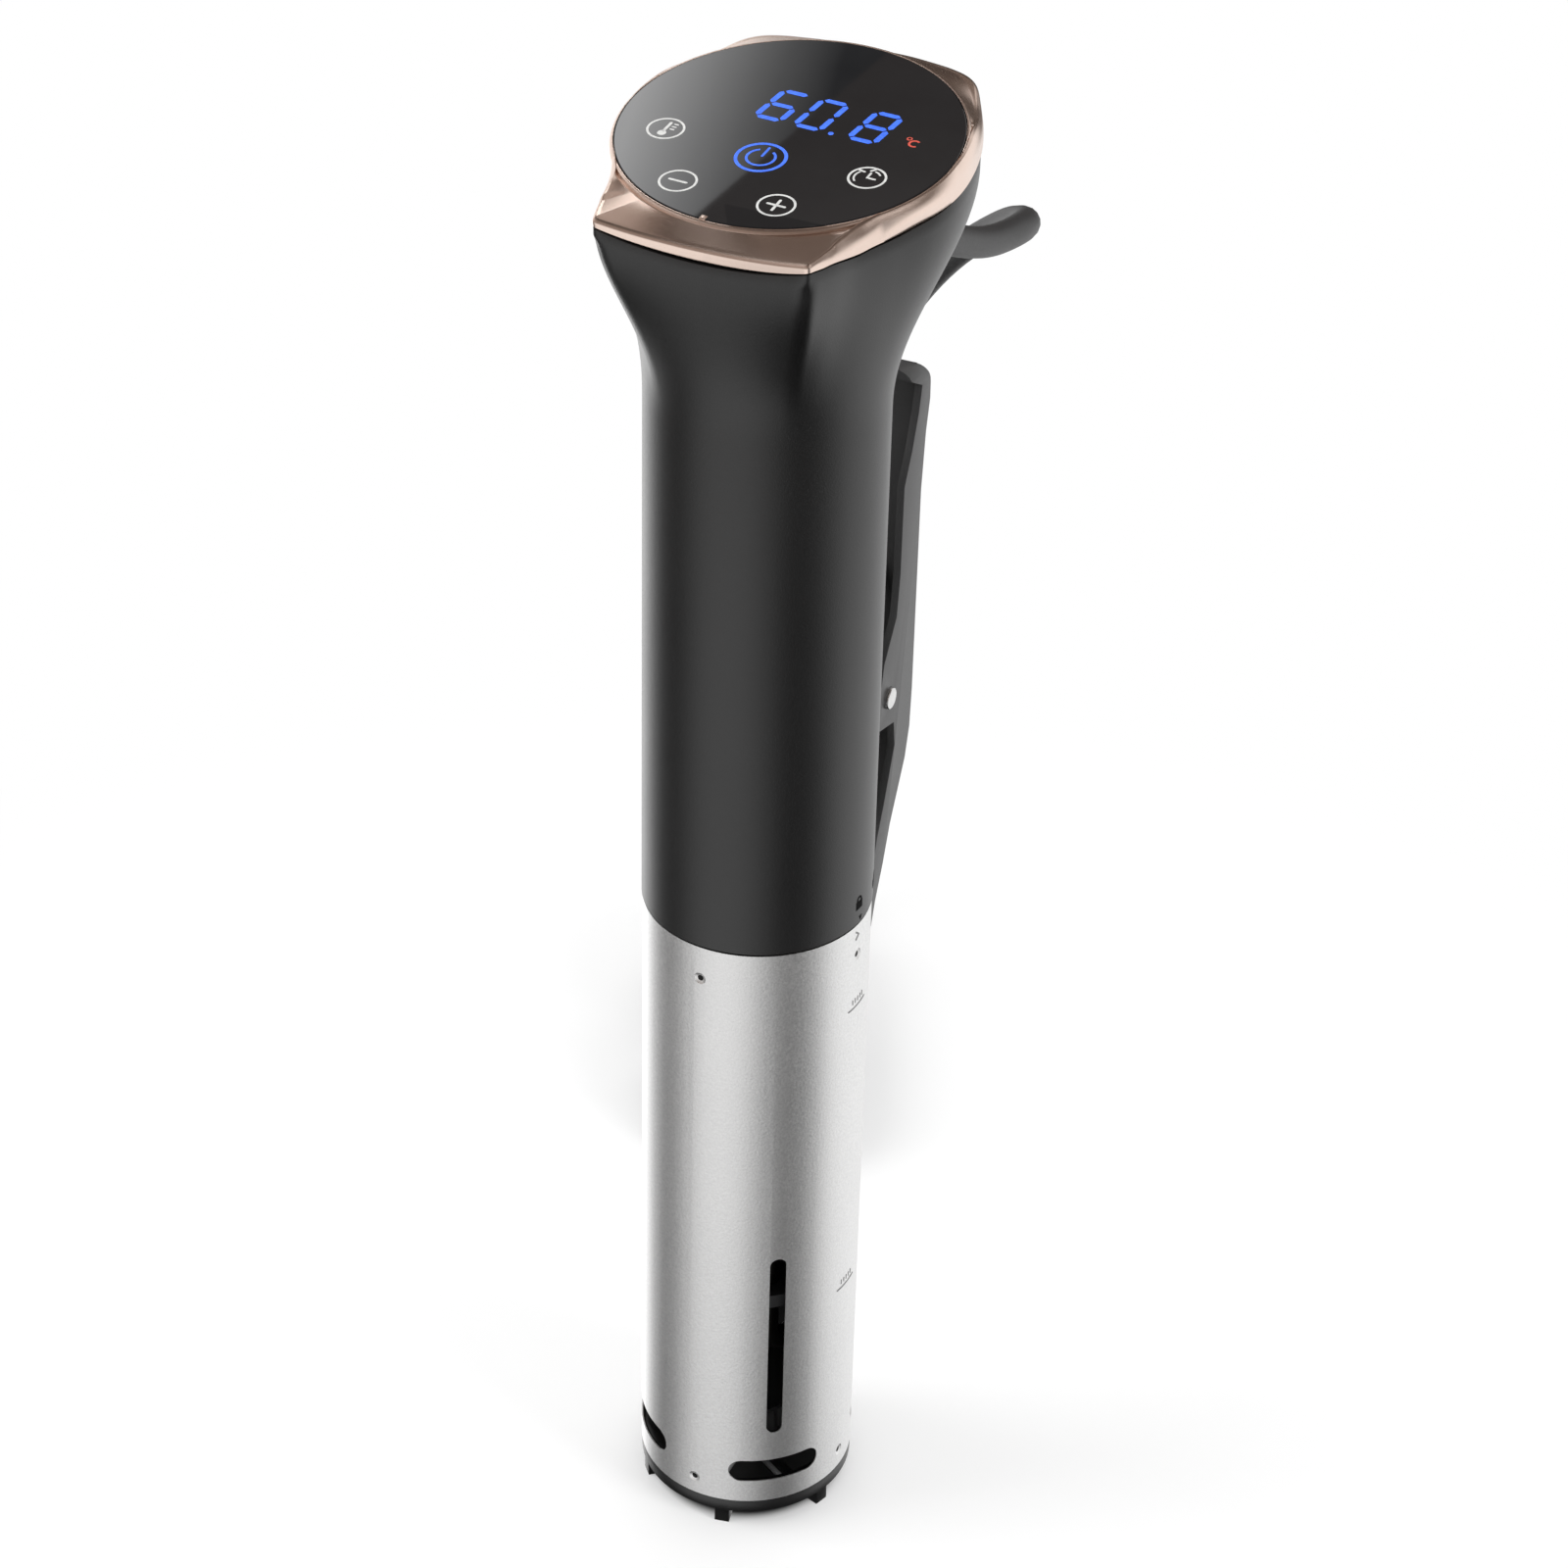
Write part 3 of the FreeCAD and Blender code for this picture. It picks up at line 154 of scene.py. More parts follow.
def lathed(name, steps, segments):
    # rings of (radius, height) drawn out one after another from a circle, closed at both ends
    radius, height = steps[0]
    place = (0, 0, height * mm)
    piece = added("circle", name, vertices=segments, radius=radius * mm, location=place, fill_type="NGON")
    editAll()
    for wider, higher in steps[1:]:
        bpy.ops.mesh.extrude_region_move(TRANSFORM_OT_translate={"value": (0, 0, (higher - height) * mm)})
        share = wider / radius
        bpy.ops.transform.resize(value=(share, share, 1), center_override=(0, 0, higher * mm))
        radius, height = wider, higher
    doneEditing()
    mended(piece)
    return piece


# shader nodes


def fill(tree, socket, value):
    # another node's output is linked, and any other value is set
    if isinstance(value, bpy.types.NodeSocket):
        tree.links.new(value, socket)
    else:
        socket.default_value = value


def wired(tree, node, **sockets):
    for name, value in sockets.items():
        fill(tree, node.inputs[name.replace("_", " ")], value)
    return node


def addNode(tree, kind, **sockets):
    return wired(tree, tree.nodes.new("ShaderNode" + kind), **sockets)


def mathNode(tree, operation, *values, kind="Math", output=0):
    node = addNode(tree, kind)
    node.operation = operation
    for socket, value in zip(node.inputs, values):
        fill(tree, socket, value)
    return node.outputs[output]


def dotNode(tree, first, second):
    return mathNode(tree, "DOT_PRODUCT", first, second, kind="VectorMath", output="Value")


def objectPlace(tree):
    return addNode(tree, "TexCoord").outputs["Object"]


def fromAxis(tree):
    # distance from the upright axis
    level = mathNode(tree, "MULTIPLY", objectPlace(tree), (1, 1, 0), kind="VectorMath")
    return mathNode(tree, "LENGTH", level, kind="VectorMath", output="Value")


def spreadNode(tree, source, reach, ends=(0, 1), curve="LINEAR"):
    # source over its reach, spread from the first end to the second
    spread = addNode(
        tree, "MapRange", Value=source, From_Min=reach[0], From_Max=reach[1], To_Min=ends[0], To_Max=ends[1]
    )
    spread.interpolation_type = curve
    return spread.outputs["Result"]


def colourRamp(tree, source, stops):
    ramp = addNode(tree, "ValToRGB", Fac=source)
    elements = ramp.color_ramp.elements
    while len(elements) < len(stops):
        elements.new(0.5)
    for element, (position, colour) in zip(elements, stops):
        element.position = position
        element.color = (*colour, 1)
    return ramp.outputs["Color"]


def mixedSurface(tree, share, first, second, end="Material Output"):
    mix = addNode(tree, "MixShader", Fac=share)
    tree.links.new(first.outputs[0], mix.inputs[1])
    tree.links.new(second.outputs[0], mix.inputs[2])
    tree.links.new(mix.outputs[0], tree.nodes[end].inputs["Surface"])


def newMaterial(name):
    material = bpy.data.materials.new(name)
    material.use_nodes = True
    tree = material.node_tree
    return material, tree, tree.nodes["Principled BSDF"]


# finishes

grain = {"mottle": 30, "reach": (0.3, 0.7), "pits": 0.6}
litPrint = {"fineness": 900, "reach": (0.35, 0.65), "rough": 0.35}


def makeGrainGroup():
    # moulded or blasted grain: height for a bump, fine speckle, and a broad mottle
    group = bpy.data.node_groups.new("fineGrain", "ShaderNodeTree")
    for label in ("Fineness", "Height", "Speckle", "Mottle"):
        way = "INPUT" if label == "Fineness" else "OUTPUT"
        group.interface.new_socket(label, in_out=way, socket_type="NodeSocketFloat")
    fineness = group.nodes.new("NodeGroupInput").outputs["Fineness"]
    end = group.nodes.new("NodeGroupOutput")
    place = objectPlace(group)
    fine = addNode(group, "TexNoise", Vector=place, Scale=fineness, Detail=3, Roughness=0.7)
    pits = addNode(group, "TexVoronoi", Vector=place, Scale=fineness)
    mottle = addNode(group, "TexNoise", Vector=place, Scale=grain["mottle"], Detail=4, Roughness=0.6)
    height = mathNode(group, "MULTIPLY_ADD", pits.outputs["Distance"], grain["pits"], fine.outputs["Fac"])
    wired(group, end, Height=height, Speckle=fine.outputs["Fac"], Mottle=mottle.outputs["Fac"])
    return group


grainGroup = makeGrainGroup()


def grainFinish(name, dark, light, rough, fineness, depth, metallic=0, specular=0.5, speckle=0.7):
    material, tree, shader = newMaterial(name)
    group = addNode(tree, "Group")
    group.node_tree = grainGroup
    wired(tree, group, Fineness=fineness)
    broad = mathNode(tree, "MULTIPLY", group.outputs["Mottle"], 1 - speckle)
    mask = mathNode(tree, "MULTIPLY_ADD", group.outputs["Speckle"], speckle, broad)
    bump = addNode(tree, "Bump", Strength=1, Distance=depth * mm * mm, Height=group.outputs["Height"])
    wired(
        tree, shader, Base_Color=colourRamp(tree, mask, list(zip(grain["reach"], (dark, light)))),
        Roughness=spreadNode(tree, mask, grain["reach"], rough), Normal=bump.outputs["Normal"],
        Metallic=metallic, Specular_IOR_Level=specular,
    )
    return material


def litFinish(name, dark, light, strength):
    # lit signs behind the panel, a little uneven as a light pipe is; the white print is given a faint painted
    # glow
    material, tree, shader = newMaterial(name)
    noise = addNode(tree, "TexNoise", Vector=objectPlace(tree), Scale=litPrint["fineness"], Detail=2)
    colour = colourRamp(tree, noise.outputs["Fac"], list(zip(litPrint["reach"], (dark, light))))
    wired(
        tree, shader, Base_Color=colour, Emission_Color=colour, Emission_Strength=strength,
        Roughness=litPrint["rough"],
    )
    return material


# dark and light colour, roughness of both, fineness of the grain and its depth in thousandths of a millimetre,
# and where they aren't the usual ones, metal, shine and the share of fine grain in the colour
grainLooks = {
    "charcoalPlastic": ((0.002, 0.002, 0.0021), (0.005, 0.005, 0.0052), (0.32, 0.4), 2400, 22, 0, 0.72),
    "leverPlastic": ((0.04, 0.04, 0.0405), (0.052, 0.052, 0.0525), (0.38, 0.48), 2400, 18, 0, 0.7),
    "blastedSteel": ((0.76, 0.76, 0.76), (0.96, 0.96, 0.955), (0.36, 0.46), 1500, 30, 1, 0.5, 0.85),
    "brightSteel": ((0.66, 0.66, 0.66), (0.78, 0.78, 0.77), (0.16, 0.26), 900, 3, 1),
    # metal inside the tube, given a near black colour
    "darkInnerSteel": ((0.035, 0.033, 0.031), (0.06, 0.056, 0.052), (0.45, 0.6), 900, 8, 1),
    "roseGold": ((0.84, 0.67, 0.58), (0.9, 0.73, 0.64), (0.21, 0.27), 1500, 1, 1),
    "panelGlass": ((0.01, 0.01, 0.011), (0.013, 0.013, 0.014), (0.02, 0.03), 60, 0.2),
    "softRubber": ((0.024, 0.024, 0.0245), (0.034, 0.034, 0.0345), (0.42, 0.56), 1800, 10),
    "innerPlastic": ((0.02, 0.02, 0.021), (0.03, 0.03, 0.031), (0.4, 0.55), 1500, 10),
    "circuitBoard": ((0.01, 0.09, 0.035), (0.02, 0.14, 0.05), (0.25, 0.35), 900, 6),
    "windings": ((0.16, 0.09, 0.05), (0.3, 0.17, 0.09), (0.3, 0.5), 1200, 30, 0.6),
    "pinMetal": ((0.62, 0.6, 0.52), (0.75, 0.72, 0.62), (0.15, 0.25), 900, 4, 1),
    "engraving": ((0.2, 0.2, 0.2), (0.3, 0.3, 0.3), (0.5, 0.6), 2400, 10, 0.6),
    "blackPrint": ((0.001, 0.001, 0.001), (0.002, 0.002, 0.002), (0.7, 0.8), 2400, 4, 0, 0.1),
}
litLooks = {
    # white print with a faint painted glow
    "glowingWhitePrint": ((0.5, 0.5, 0.49), (0.6, 0.6, 0.585), 0.12),
    "blueLight": ((0.024, 0.095, 0.58), (0.034, 0.13, 0.72), 0.55),
    "redLight": ((0.42, 0.055, 0.035), (0.54, 0.075, 0.05), 0.35),
}
finishes = {name: grainFinish(name, *looks) for name, looks in grainLooks.items()}
finishes.update({name: litFinish(name, *looks) for name, looks in litLooks.items()})

slotFinish = {
    "black_plastic": "charcoalPlastic", "inner_plastic": "innerPlastic", "rose_gold": "roseGold",
    "dark_glass": "panelGlass", "blasted_steel": "blastedSteel", "steel": "brightSteel",
    "aluminium": "brightSteel", "soft_rubber": "softRubber", "cord_rubber": "softRubber",
    "circuit_board": "circuitBoard", "magnet": "windings", "brass_pins": "pinMetal",
}

# inside the steel tube the colour is painted near black as painted shade; the blasted look stays on its
# outside
tubeInsideShade = {"radius": 28.65, "tone": 0.025}


def paintInsideShade(material):
    tree = material.node_tree
    shader = tree.nodes["Principled BSDF"]
    # painted shade: near black colour wherever a point lies within the tube's inner radius
    mix = addNode(
        tree, "MixRGB", Fac=mathNode(tree, "LESS_THAN", fromAxis(tree), tubeInsideShade["radius"] * mm),
        Color1=shader.inputs["Base Color"].links[0].from_socket, Color2=(*[tubeInsideShade["tone"]] * 3, 1),
    )
    wired(tree, shader, Base_Color=mix.outputs["Color"])


paintInsideShade(finishes["blastedSteel"])

# metal parts inside the tube are given a dull, near black colour
darkInnerNodes = {"heating_element", "temperature_probe", "level_probes", "drive_shaft", "heater_nuts"}
for entry in frame["record"]["subparts"]:
    finish = "darkInnerSteel" if entry["node"] in darkInnerNodes else slotFinish[entry["material_slot"]]
    dressed(frame["nodes"][entry["node"]], finish)
print("CAD nodes dressed")

# floor, light and camera

stage = {
    # the darkest floor tone is painted shade, laid under the foot out to about 24 to 28 mm from the axis
    "floorSize": 3.4, "floorAndShadeTones": [(0, 0.03), (1, 0.95)], "floorRough": 0.7,
    "paintedShadeReach": (24 * mm, 28 * mm), "glowReach": (29 * mm, 420 * mm), "nearGlow": 0.35,
    "worldTone": 0.75, "worldLevel": 0.7,
}


def lookedAt(tree):
    # 1 where the eye, metal or glass looks, 0 for light that lands on the object
    path = addNode(tree, "LightPath").outputs
    seen = mathNode(tree, "MAXIMUM", path["Is Camera Ray"], path["Is Glossy Ray"])
    return mathNode(tree, "MAXIMUM", seen, path["Is Transmission Ray"])


def makeFloor():
    # pale floor with painted shade under the foot, which grows into the white backdrop away from the object
    floor = added("plane", "floor", size=stage["floorSize"])
    material, tree, shader = newMaterial("paleFloor")
    away = fromAxis(tree)
    # painted shade: the floor goes dark within the foot's radius
    shade = spreadNode(tree, away, stage["paintedShadeReach"], curve="SMOOTHSTEP")
    colour = toneRamp(tree, shade, stage["floorAndShadeTones"])
    wired(tree, shader, Base_Color=colour, Roughness=stage["floorRough"])
    near = mathNode(tree, "MULTIPLY", shade, stage["nearGlow"])
    white = mathNode(tree, "MAXIMUM", near, spreadNode(tree, away, stage["glowReach"], curve="SMOOTHSTEP"))
    share = mathNode(tree, "MULTIPLY", white, lookedAt(tree))
    mixedSurface(tree, share, shader, addNode(tree, "Emission"))
    floor.data.materials.append(material)
    floor.visible_glossy = False  # polished faces show the screens and the white backdrop under it


def makeBackdrop():
    # soft grey light, and plain white where it is looked at
    world = bpy.data.worlds.new("studio")
    bpy.context.scene.world = world
    world.use_nodes = True
    tree = world.node_tree
    light = tree.nodes["Background"]
    wired(tree, light, Color=(*[stage["worldTone"]] * 3, 1), Strength=stage["worldLevel"])
    white = addNode(tree, "Background", Color=(1, 1, 1, 1))
    mixedSurface(tree, lookedAt(tree), light, white, "World Output")


# studio screens that only reflections see: a round wall of grey and white cards, a dark ceiling and a pit;
# each tone stands at its share of a turn
screens = {
    "sides": 128, "radius": 0.95, "low": -1.25, "high": 0.78,
    "tones": [
        (0, 0.26), (0.03, 0.13), (0.085, 0.1), (0.125, 0.58), (0.17, 1), (0.27, 1.09), (0.33, 0.66),
        (0.38, 0.11), (0.45, 0.09), (0.49, 0.34), (0.55, 1.02), (0.6, 1), (0.85, 1), (0.88, 2.1),
        (0.93, 2.1), (0.97, 0.8), (1, 0.26),
    ],
    "pitLevel": -1.24, "pitTone": 0.012,
    "highTones": [
        (0, 0.3), (0.2, 0.3), (0.4, 0.12), (0.57, 0.12), (0.635, 1), (0.705, 1), (0.735, 0.06),
        (0.8, 0.06), (0.84, 1), (0.97, 1), (1, 0.3),
    ],
    "highStart": (-0.05, 0.2), "wallFade": (-1.18, -0.8), "warmth": (0.78, 0.66),
    "ceilingTop": 0.5, "ceilingRise": 0.9,
    "overheadTones": [
        (0, 0.08), (0.72, 0.1), (0.76, 0.5), (0.825, 0.45), (0.87, 0.18), (0.93, 0.08), (1, 0.08),
    ],
    "ceilingTones": [
        (0, 0.5), (0.04, 0.2), (0.45, 0.15), (0.66, 0.15), (0.7, 0.8), (0.75, 0.8), (0.765, 0.15),
        (0.868, 0.15), (0.89, 0.8), (0.97, 0.8), (1, 0.5),
    ],
    "ceilingFade": (1.04, 1.18),
}


def glowingCard(piece, name):
    # gives the piece a light of its own that only reflections see
    material, tree, shader = newMaterial(name)
    material.cycles.emission_sampling = "NONE"
    tree.nodes.remove(shader)
    card = addNode(tree, "Emission")
    tree.links.new(card.outputs[0], tree.nodes["Material Output"].inputs["Surface"])
    piece.data.materials.append(material)
    for ray in ("camera", "diffuse", "transmission", "volume_scatter", "shadow"):
        setattr(piece, "visible_" + ray, False)
    return tree, card


def toneRamp(tree, source, tones, warmth=(1, 1)):
    # greys; with warmth the dark ones turn brown
    stops = []
    for position, tone in tones:
        green, blue = (share + (1 - share) * tone for share in warmth)
        stops.append((position, (tone, tone * green, tone * blue)))
    return colourRamp(tree, source, stops)


def heightShare(tree, reach, ends=(1, 0)):
    # changes from the first end to the second over a reach of heights
    parts = addNode(tree, "SeparateXYZ", Vector=objectPlace(tree))
    return spreadNode(tree, parts.outputs["Z"], reach, ends, "SMOOTHSTEP")


def tonesAround(tree, over, under, reach, *underWarmth):
    # tones round the object, which change from one list to the other over a reach of heights
    turn = addNode(tree, "TexGradient", Vector=objectPlace(tree))
    turn.gradient_type = "RADIAL"
    upper = toneRamp(tree, turn.outputs["Fac"], screens[over], screens["warmth"])
    lower = toneRamp(tree, turn.outputs["Fac"], screens[under], *underWarmth)
    share = heightShare(tree, screens[reach])
    return addNode(tree, "MixRGB", Fac=share, Color1=upper, Color2=lower).outputs["Color"]


def makeScreens():
    sides, radius, low, high = (screens[name] for name in ("sides", "radius", "low", "high"))
    wall = added(
        "cylinder", "screenWall", vertices=sides, radius=radius, depth=high - low,
        location=(0, 0, (low + high) / 2), end_fill_type="NOTHING",
    )
    tree, card = glowingCard(wall, "screenCards")
    lit = mathNode(tree, "MAXIMUM", heightShare(tree, screens["wallFade"], (0, 1)), screens["pitTone"])
    wired(tree, card, Color=tonesAround(tree, "highTones", "tones", "highStart"), Strength=lit)
    middle = high + screens["ceilingRise"] / 2
    ceiling = added(
        "cone", "screenCeiling", vertices=sides, radius1=radius, radius2=screens["ceilingTop"],
        depth=screens["ceilingRise"], location=(0, 0, middle), end_fill_type="NOTHING",
    )
    editAll("DESELECT")
    doneEditing()
    for vertex in ceiling.data.vertices:
        vertex.select = vertex.co.z > middle
    bpy.ops.object.mode_set(mode="EDIT")
    bpy.ops.mesh.edge_face_add()
    doneEditing()
    tree, card = glowingCard(ceiling, "ceilingCard")
    tones = tonesAround(tree, "overheadTones", "ceilingTones", "ceilingFade", screens["warmth"])
    wired(tree, card, Color=tones)
    place = (0, 0, screens["pitLevel"])
    pit = added("circle", "screenPit", vertices=sides, radius=radius, location=place, fill_type="NGON")
    tree, card = glowingCard(pit, "pitCard")
    wired(tree, card, Color=(*[screens["pitTone"]] * 3, 1))


# sloping card whose straight edge and fading light lie across the display glass
panelCard = {
    "corner": (-0.27885, 0.518, 0.86845),
    "along": (0.5765, 0.7053, -0.4123),
    "outwards": (-0.726, 0.2107, -0.6545),
    "alongReach": (-0.13, 0.1), "outwardReach": 0.09,
    "fade": (-0.9214, -0.1942, -0.3376),
    "fadeRange": (-0.14656, -0.06956), "strength": 4,
    "tones": [
        (0, 0.017), (0.288, 0.171), (0.416, 0.266), (0.61, 0.45), (0.805, 0.675), (0.935, 0.855), (1, 0.95),
    ],
}


def makePanelCard():
    corner, along, outwards = (Vector(panelCard[name]) for name in ("corner", "along", "outwards"))
    spots = [corner + along * reach for reach in panelCard["alongReach"]]
    spots += [spot + outwards * panelCard["outwardReach"] for spot in spots]
    piece = added("plane", "panelCard", size=1)
    placeVertices(piece, spots)
    tree, card = glowingCard(piece, "fadingCard")
    fade = spreadNode(tree, dotNode(tree, objectPlace(tree), panelCard["fade"]), panelCard["fadeRange"])
    wired(tree, card, Color=toneRamp(tree, fade, panelCard["tones"]), Strength=panelCard["strength"])


# small dark flag, seen only in reflections, that keeps that card off the collar's right front corner
flag = {
    "spot": (14, -23, 404), "size": (30, 32),
    "tone": (0.13, 0.108, 0.096),
    "faces": (0.47, -0.6, -0.64), "spread": 0.9,
}


def makeFlag():
    piece = added("plane", "reflectionFlag", size=1)
    piece.rotation_euler = (radians(90), 0, 0)
    piece.location = Vector(flag["spot"]) * mm
    piece.scale = Vector((*flag["size"], 1)) * mm
    bakePlace(piece)
    tree, card = glowingCard(piece, "flagCard")
    wired(tree, card, Color=(*flag["tone"], 1))
    # clear for every ray but those that come up from the corner
    facing = dotNode(tree, addNode(tree, "NewGeometry").outputs["Incoming"], flag["faces"])
    dark = mathNode(tree, "GREATER_THAN", facing, flag["spread"])
    mixedSurface(tree, dark, addNode(tree, "BsdfTransparent"), card)


lamps = {
    "leftPanel": {"spot": (-1.1, -0.5, 1.1), "size": (0.9, 1.4), "power": 14, "polish": True},
    "rightPanel": {"spot": (1.3, -0.2, 0.7), "size": (0.5, 1.2), "power": 10, "polish": True},
    "topPanel": {"spot": (0, 0.5, 1.8), "size": (1.2, 0.9), "power": 10, "polish": False},
}
lampAim = Vector((0, 0, 0.22))


def makeLamps():
    for name, lamp in lamps.items():
        bpy.ops.object.light_add(type="AREA", location=lamp["spot"])
        light = bpy.context.object
        light.name = name
        light.data.shape = "RECTANGLE"
        light.data.size, light.data.size_y = lamp["size"]
        light.data.energy = lamp["power"]
        light.visible_glossy = lamp["polish"]  # without it polished faces show the screens there
        light.rotation_euler = (lampAim - Vector(lamp["spot"])).to_track_quat("-Z", "Y").to_euler()


camera = {
    "spot": (0.33093, -0.72953, 0.74584),
    "turn": (56.846, -1.199, 24.748),
    "lens": 88.6, "sensor": 36,
}


def makeCamera():
    bpy.ops.object.camera_add(location=camera["spot"])
    eye = bpy.context.object
    eye.name = "eye"
    eye.rotation_euler = Euler([radians(angle) for angle in camera["turn"]], "XYZ")
    eye.data.lens = camera["lens"]
    eye.data.sensor_width = camera["sensor"]
    bpy.context.scene.camera = eye


makeFloor()
makeBackdrop()
makeScreens()
makePanelCard()
makeFlag()
makeLamps()
makeCamera()
bpy.context.scene.view_settings.view_transform = "Standard"
print("floor, screens, lamps and camera stand")

# head: charcoal housing and rose-gold collar share one plan and one wavy joint

head = {
    "tube": 29.2, "wall": 2.4, "seam": 190.9,
    "flareStart": 330.2, "flareStartLean": -5.7, "flareFinish": 383, "easing": 1.12,
    "displayBack": 9.2, "displayHeight": 393.3, "displayTilt": 8.8,
    "front": [(0, -36.8), (7, -36.95), (13, -37.2), (20, -37.6), (26.2, -38)],
    "side": [
        (26.2, -38), (28.8, -29.5), (31.2, -20.5), (35.6, -9.3), (39.9, 1.5), (41.4, 11), (40.4, 22),
        (37.2, 33), (30.5, 46.2),
    ],
    "back": [(30.5, 46.2), (27.2, 49.5), (22, 51.6), (11.5, 53.8), (0, 54.2)],
    "curveSteps": 12, "planGap": 0.25, "fineReach": 4.5, "coarsePick": 4,
    "frontRounding": 1.5, "backRounding": 5, "softRounding": 6.5, "roundingReach": 14, "leastRounding": 0.25,
    "softDrop": 5,
    "rimSide": [
        (-56, 1.6), (-47.5, 3), (-42, 4.1), (-30, 7), (-18, 8), (0, 8.2), (18, 8), (27, 7),
        (33, 5.5), (38, 4.4), (46, 4.6), (60, 5),
    ],
    "rimFrontRadius": 90, "rimFrontDepth": 6.8,
    "collarGap": 0.05,
    "lowLevels": [0, 0.002, 0.02, 0.1, 0.25, 0.42, 0.55, 0.64], "highLevels": 42,
    "seamInset": 0.35, "topInset": 0.3, "insideDrop": 14, "insideInset": 0.4,
    "insideHeights": [340, 300], "lipHeight": 16, "skinTurns": 6,
}


def throughPoints(points, steps):
    # smooth curve through the points, with extra steps between each pair
    first = [2 * a - b for a, b in zip(points[0], points[1])]
    last = [2 * a - b for a, b in zip(points[-1], points[-2])]
    chain = [first] + [list(point) for point in points] + [last]
    curve = []
    for before, here, there, after in zip(chain, chain[1:], chain[2:], chain[3:]):
        for step in range(steps):
            share = step / steps
            curve.append([
                0.5 * (2 * b + (c - a) * share + (2 * a - 5 * b + 4 * c - d) * share ** 2
                       + (3 * b - a - 3 * c + d) * share ** 3)
                for a, b, c, d in zip(before, here, there, after)
            ])
    return curve


def evenly(line, gap):
    # points of a closed line, a fixed gap apart
    spots = []
    travelled = wanted = 0
    for here, there in zip(line, line[1:] + line[:1]):
        length = dist(here, there)
        while length > 0 and wanted <= travelled + length:
            share = (wanted - travelled) / length
            spots.append([a + (b - a) * share for a, b in zip(here, there)])
            wanted += gap
        travelled += length
    return spots


def averaged(spots, middle, reach):
    # mean place of the points within reach along the line, the middle ones weighing most
    window = max(1, int(reach / head["planGap"]))
    weights = [window + 1 - abs(j) for j in range(-window, window + 1)]
    picks = [spots[(middle + j) % len(spots)] for j in range(-window, window + 1)]
    return tuple(sum(w * pick[k] for w, pick in zip(weights, picks)) / sum(weights) for k in (0, 1))


def headPlan():
    # outline at the head's widest level, once with crisp corners and once with soft ones
    half = []
    for part in ("front", "side", "back"):
        half += throughPoints(head[part], head["curveSteps"])
    spots = evenly(half + [head["back"][-1]] + [(-x, y) for x, y in reversed(half[1:])], head["planGap"])
    crisp, soft = [], []
    for k, (x, y) in enumerate(spots):
        frontNear, backNear = (dist((abs(x), y), head[part][0]) for part in ("side", "back"))
        if frontNear > head["fineReach"] and k % head["coarsePick"]:
            continue
        fading = max(head["leastRounding"], 1 - min(frontNear, backNear) / head["roundingReach"])
        reach = head["frontRounding"] if frontNear < backNear else head["backRounding"]
        crisp.append(averaged(spots, k, reach * fading))
        soft.append(averaged(spots, k, max(reach, head["softRounding"]) * fading))
    return crisp, soft


def smoothStep(value):
    value = min(1, max(0, value))
    return value * value * (3 - 2 * value)


def alongTable(table, value):
    # half straight and half eased from one entry to the next
    for (x0, y0), (x1, y1) in zip(table, table[1:]):
        if value <= x1:
            share = (value - x0) / (x1 - x0)
            return y0 + (y1 - y0) * (smoothStep(share) + max(0, share)) / 2
    return table[-1][1]


tilt = radians(head["displayTilt"])


def rimDepth(x, y):
    # depth of the joint between housing and collar, square to the display
    depth = alongTable(head["rimSide"], (y - head["displayBack"]) / cos(tilt))
    drum = head["rimFrontRadius"]
    if abs(x) < drum:
        depth = max(depth, head["rimFrontDepth"] - (drum - sqrt(drum * drum - x * x)))
    return depth


def rimHeight(x, y):
    panel = head["displayHeight"] + (y - head["displayBack"]) * tan(tilt)
    return panel - rimDepth(x, y) / cos(tilt)


def flareShare(y, height):
    start = head["flareStart"] + y * tan(radians(head["flareStartLean"]))
    passed = (height - start) / (head["flareFinish"] - start)
    return smoothStep(max(0, passed) ** head["easing"])


def skinPoint(plan, height, inset=0):
    # point of the housing's skin at a height, under a point of the plan
    x, y = plan
    radius = hypot(x, y)
    away = head["tube"]
    for turn in range(head["skinTurns"]):
        share = flareShare(y / radius * away, height)
        away = (1 - share) * head["tube"] + share * radius
    away -= inset
    return x / radius * away, y / radius * away, height


def housingTop(spot):
    return rimHeight(*skinPoint(spot, head["flareFinish"])[:2]) - head["collarGap"]


plan, softPlan = headPlan()
print("head plan has", len(plan), "points")


def makeHeadShell():
    # outside, from the seam up to the joint with the collar
    low, steps = head["lowLevels"], head["highLevels"]
    levels = low + [low[-1] + (1 - low[-1]) * k / steps for k in range(1, steps + 1)]
    insets = {levels[0]: head["seamInset"], levels[-1]: head["topInset"]}
    rings = []
    for level in levels:
        ring = []
        for crisp, soft in zip(plan, softPlan):
            top = housingTop(crisp)
            height = head["seam"] + (top - head["seam"]) * level
            share = smoothStep((top - height) / head["softDrop"])
            spot = [a + (b - a) * share for a, b in zip(crisp, soft)]
            ring.append(skinPoint(spot, height, insets.get(level, 0)))
        rings.append(ring)
    # over the rim and back down inside
    for drop, inset in ((0, head["wall"]), (head["insideDrop"], head["wall"] + head["insideInset"])):
        rings.append([skinPoint(spot, housingTop(spot) - drop, inset) for spot in plan])
    for height in head["insideHeights"] + [head["seam"] + head["lipHeight"], head["seam"]]:
        rings.append([skinPoint(spot, height, head["wall"]) for spot in plan])
    piece = rolledGrid("headShell", rings + rings[:1])
    finishPiece(piece, "handle", "black_plastic", ["handle_housing"], smooth=40)


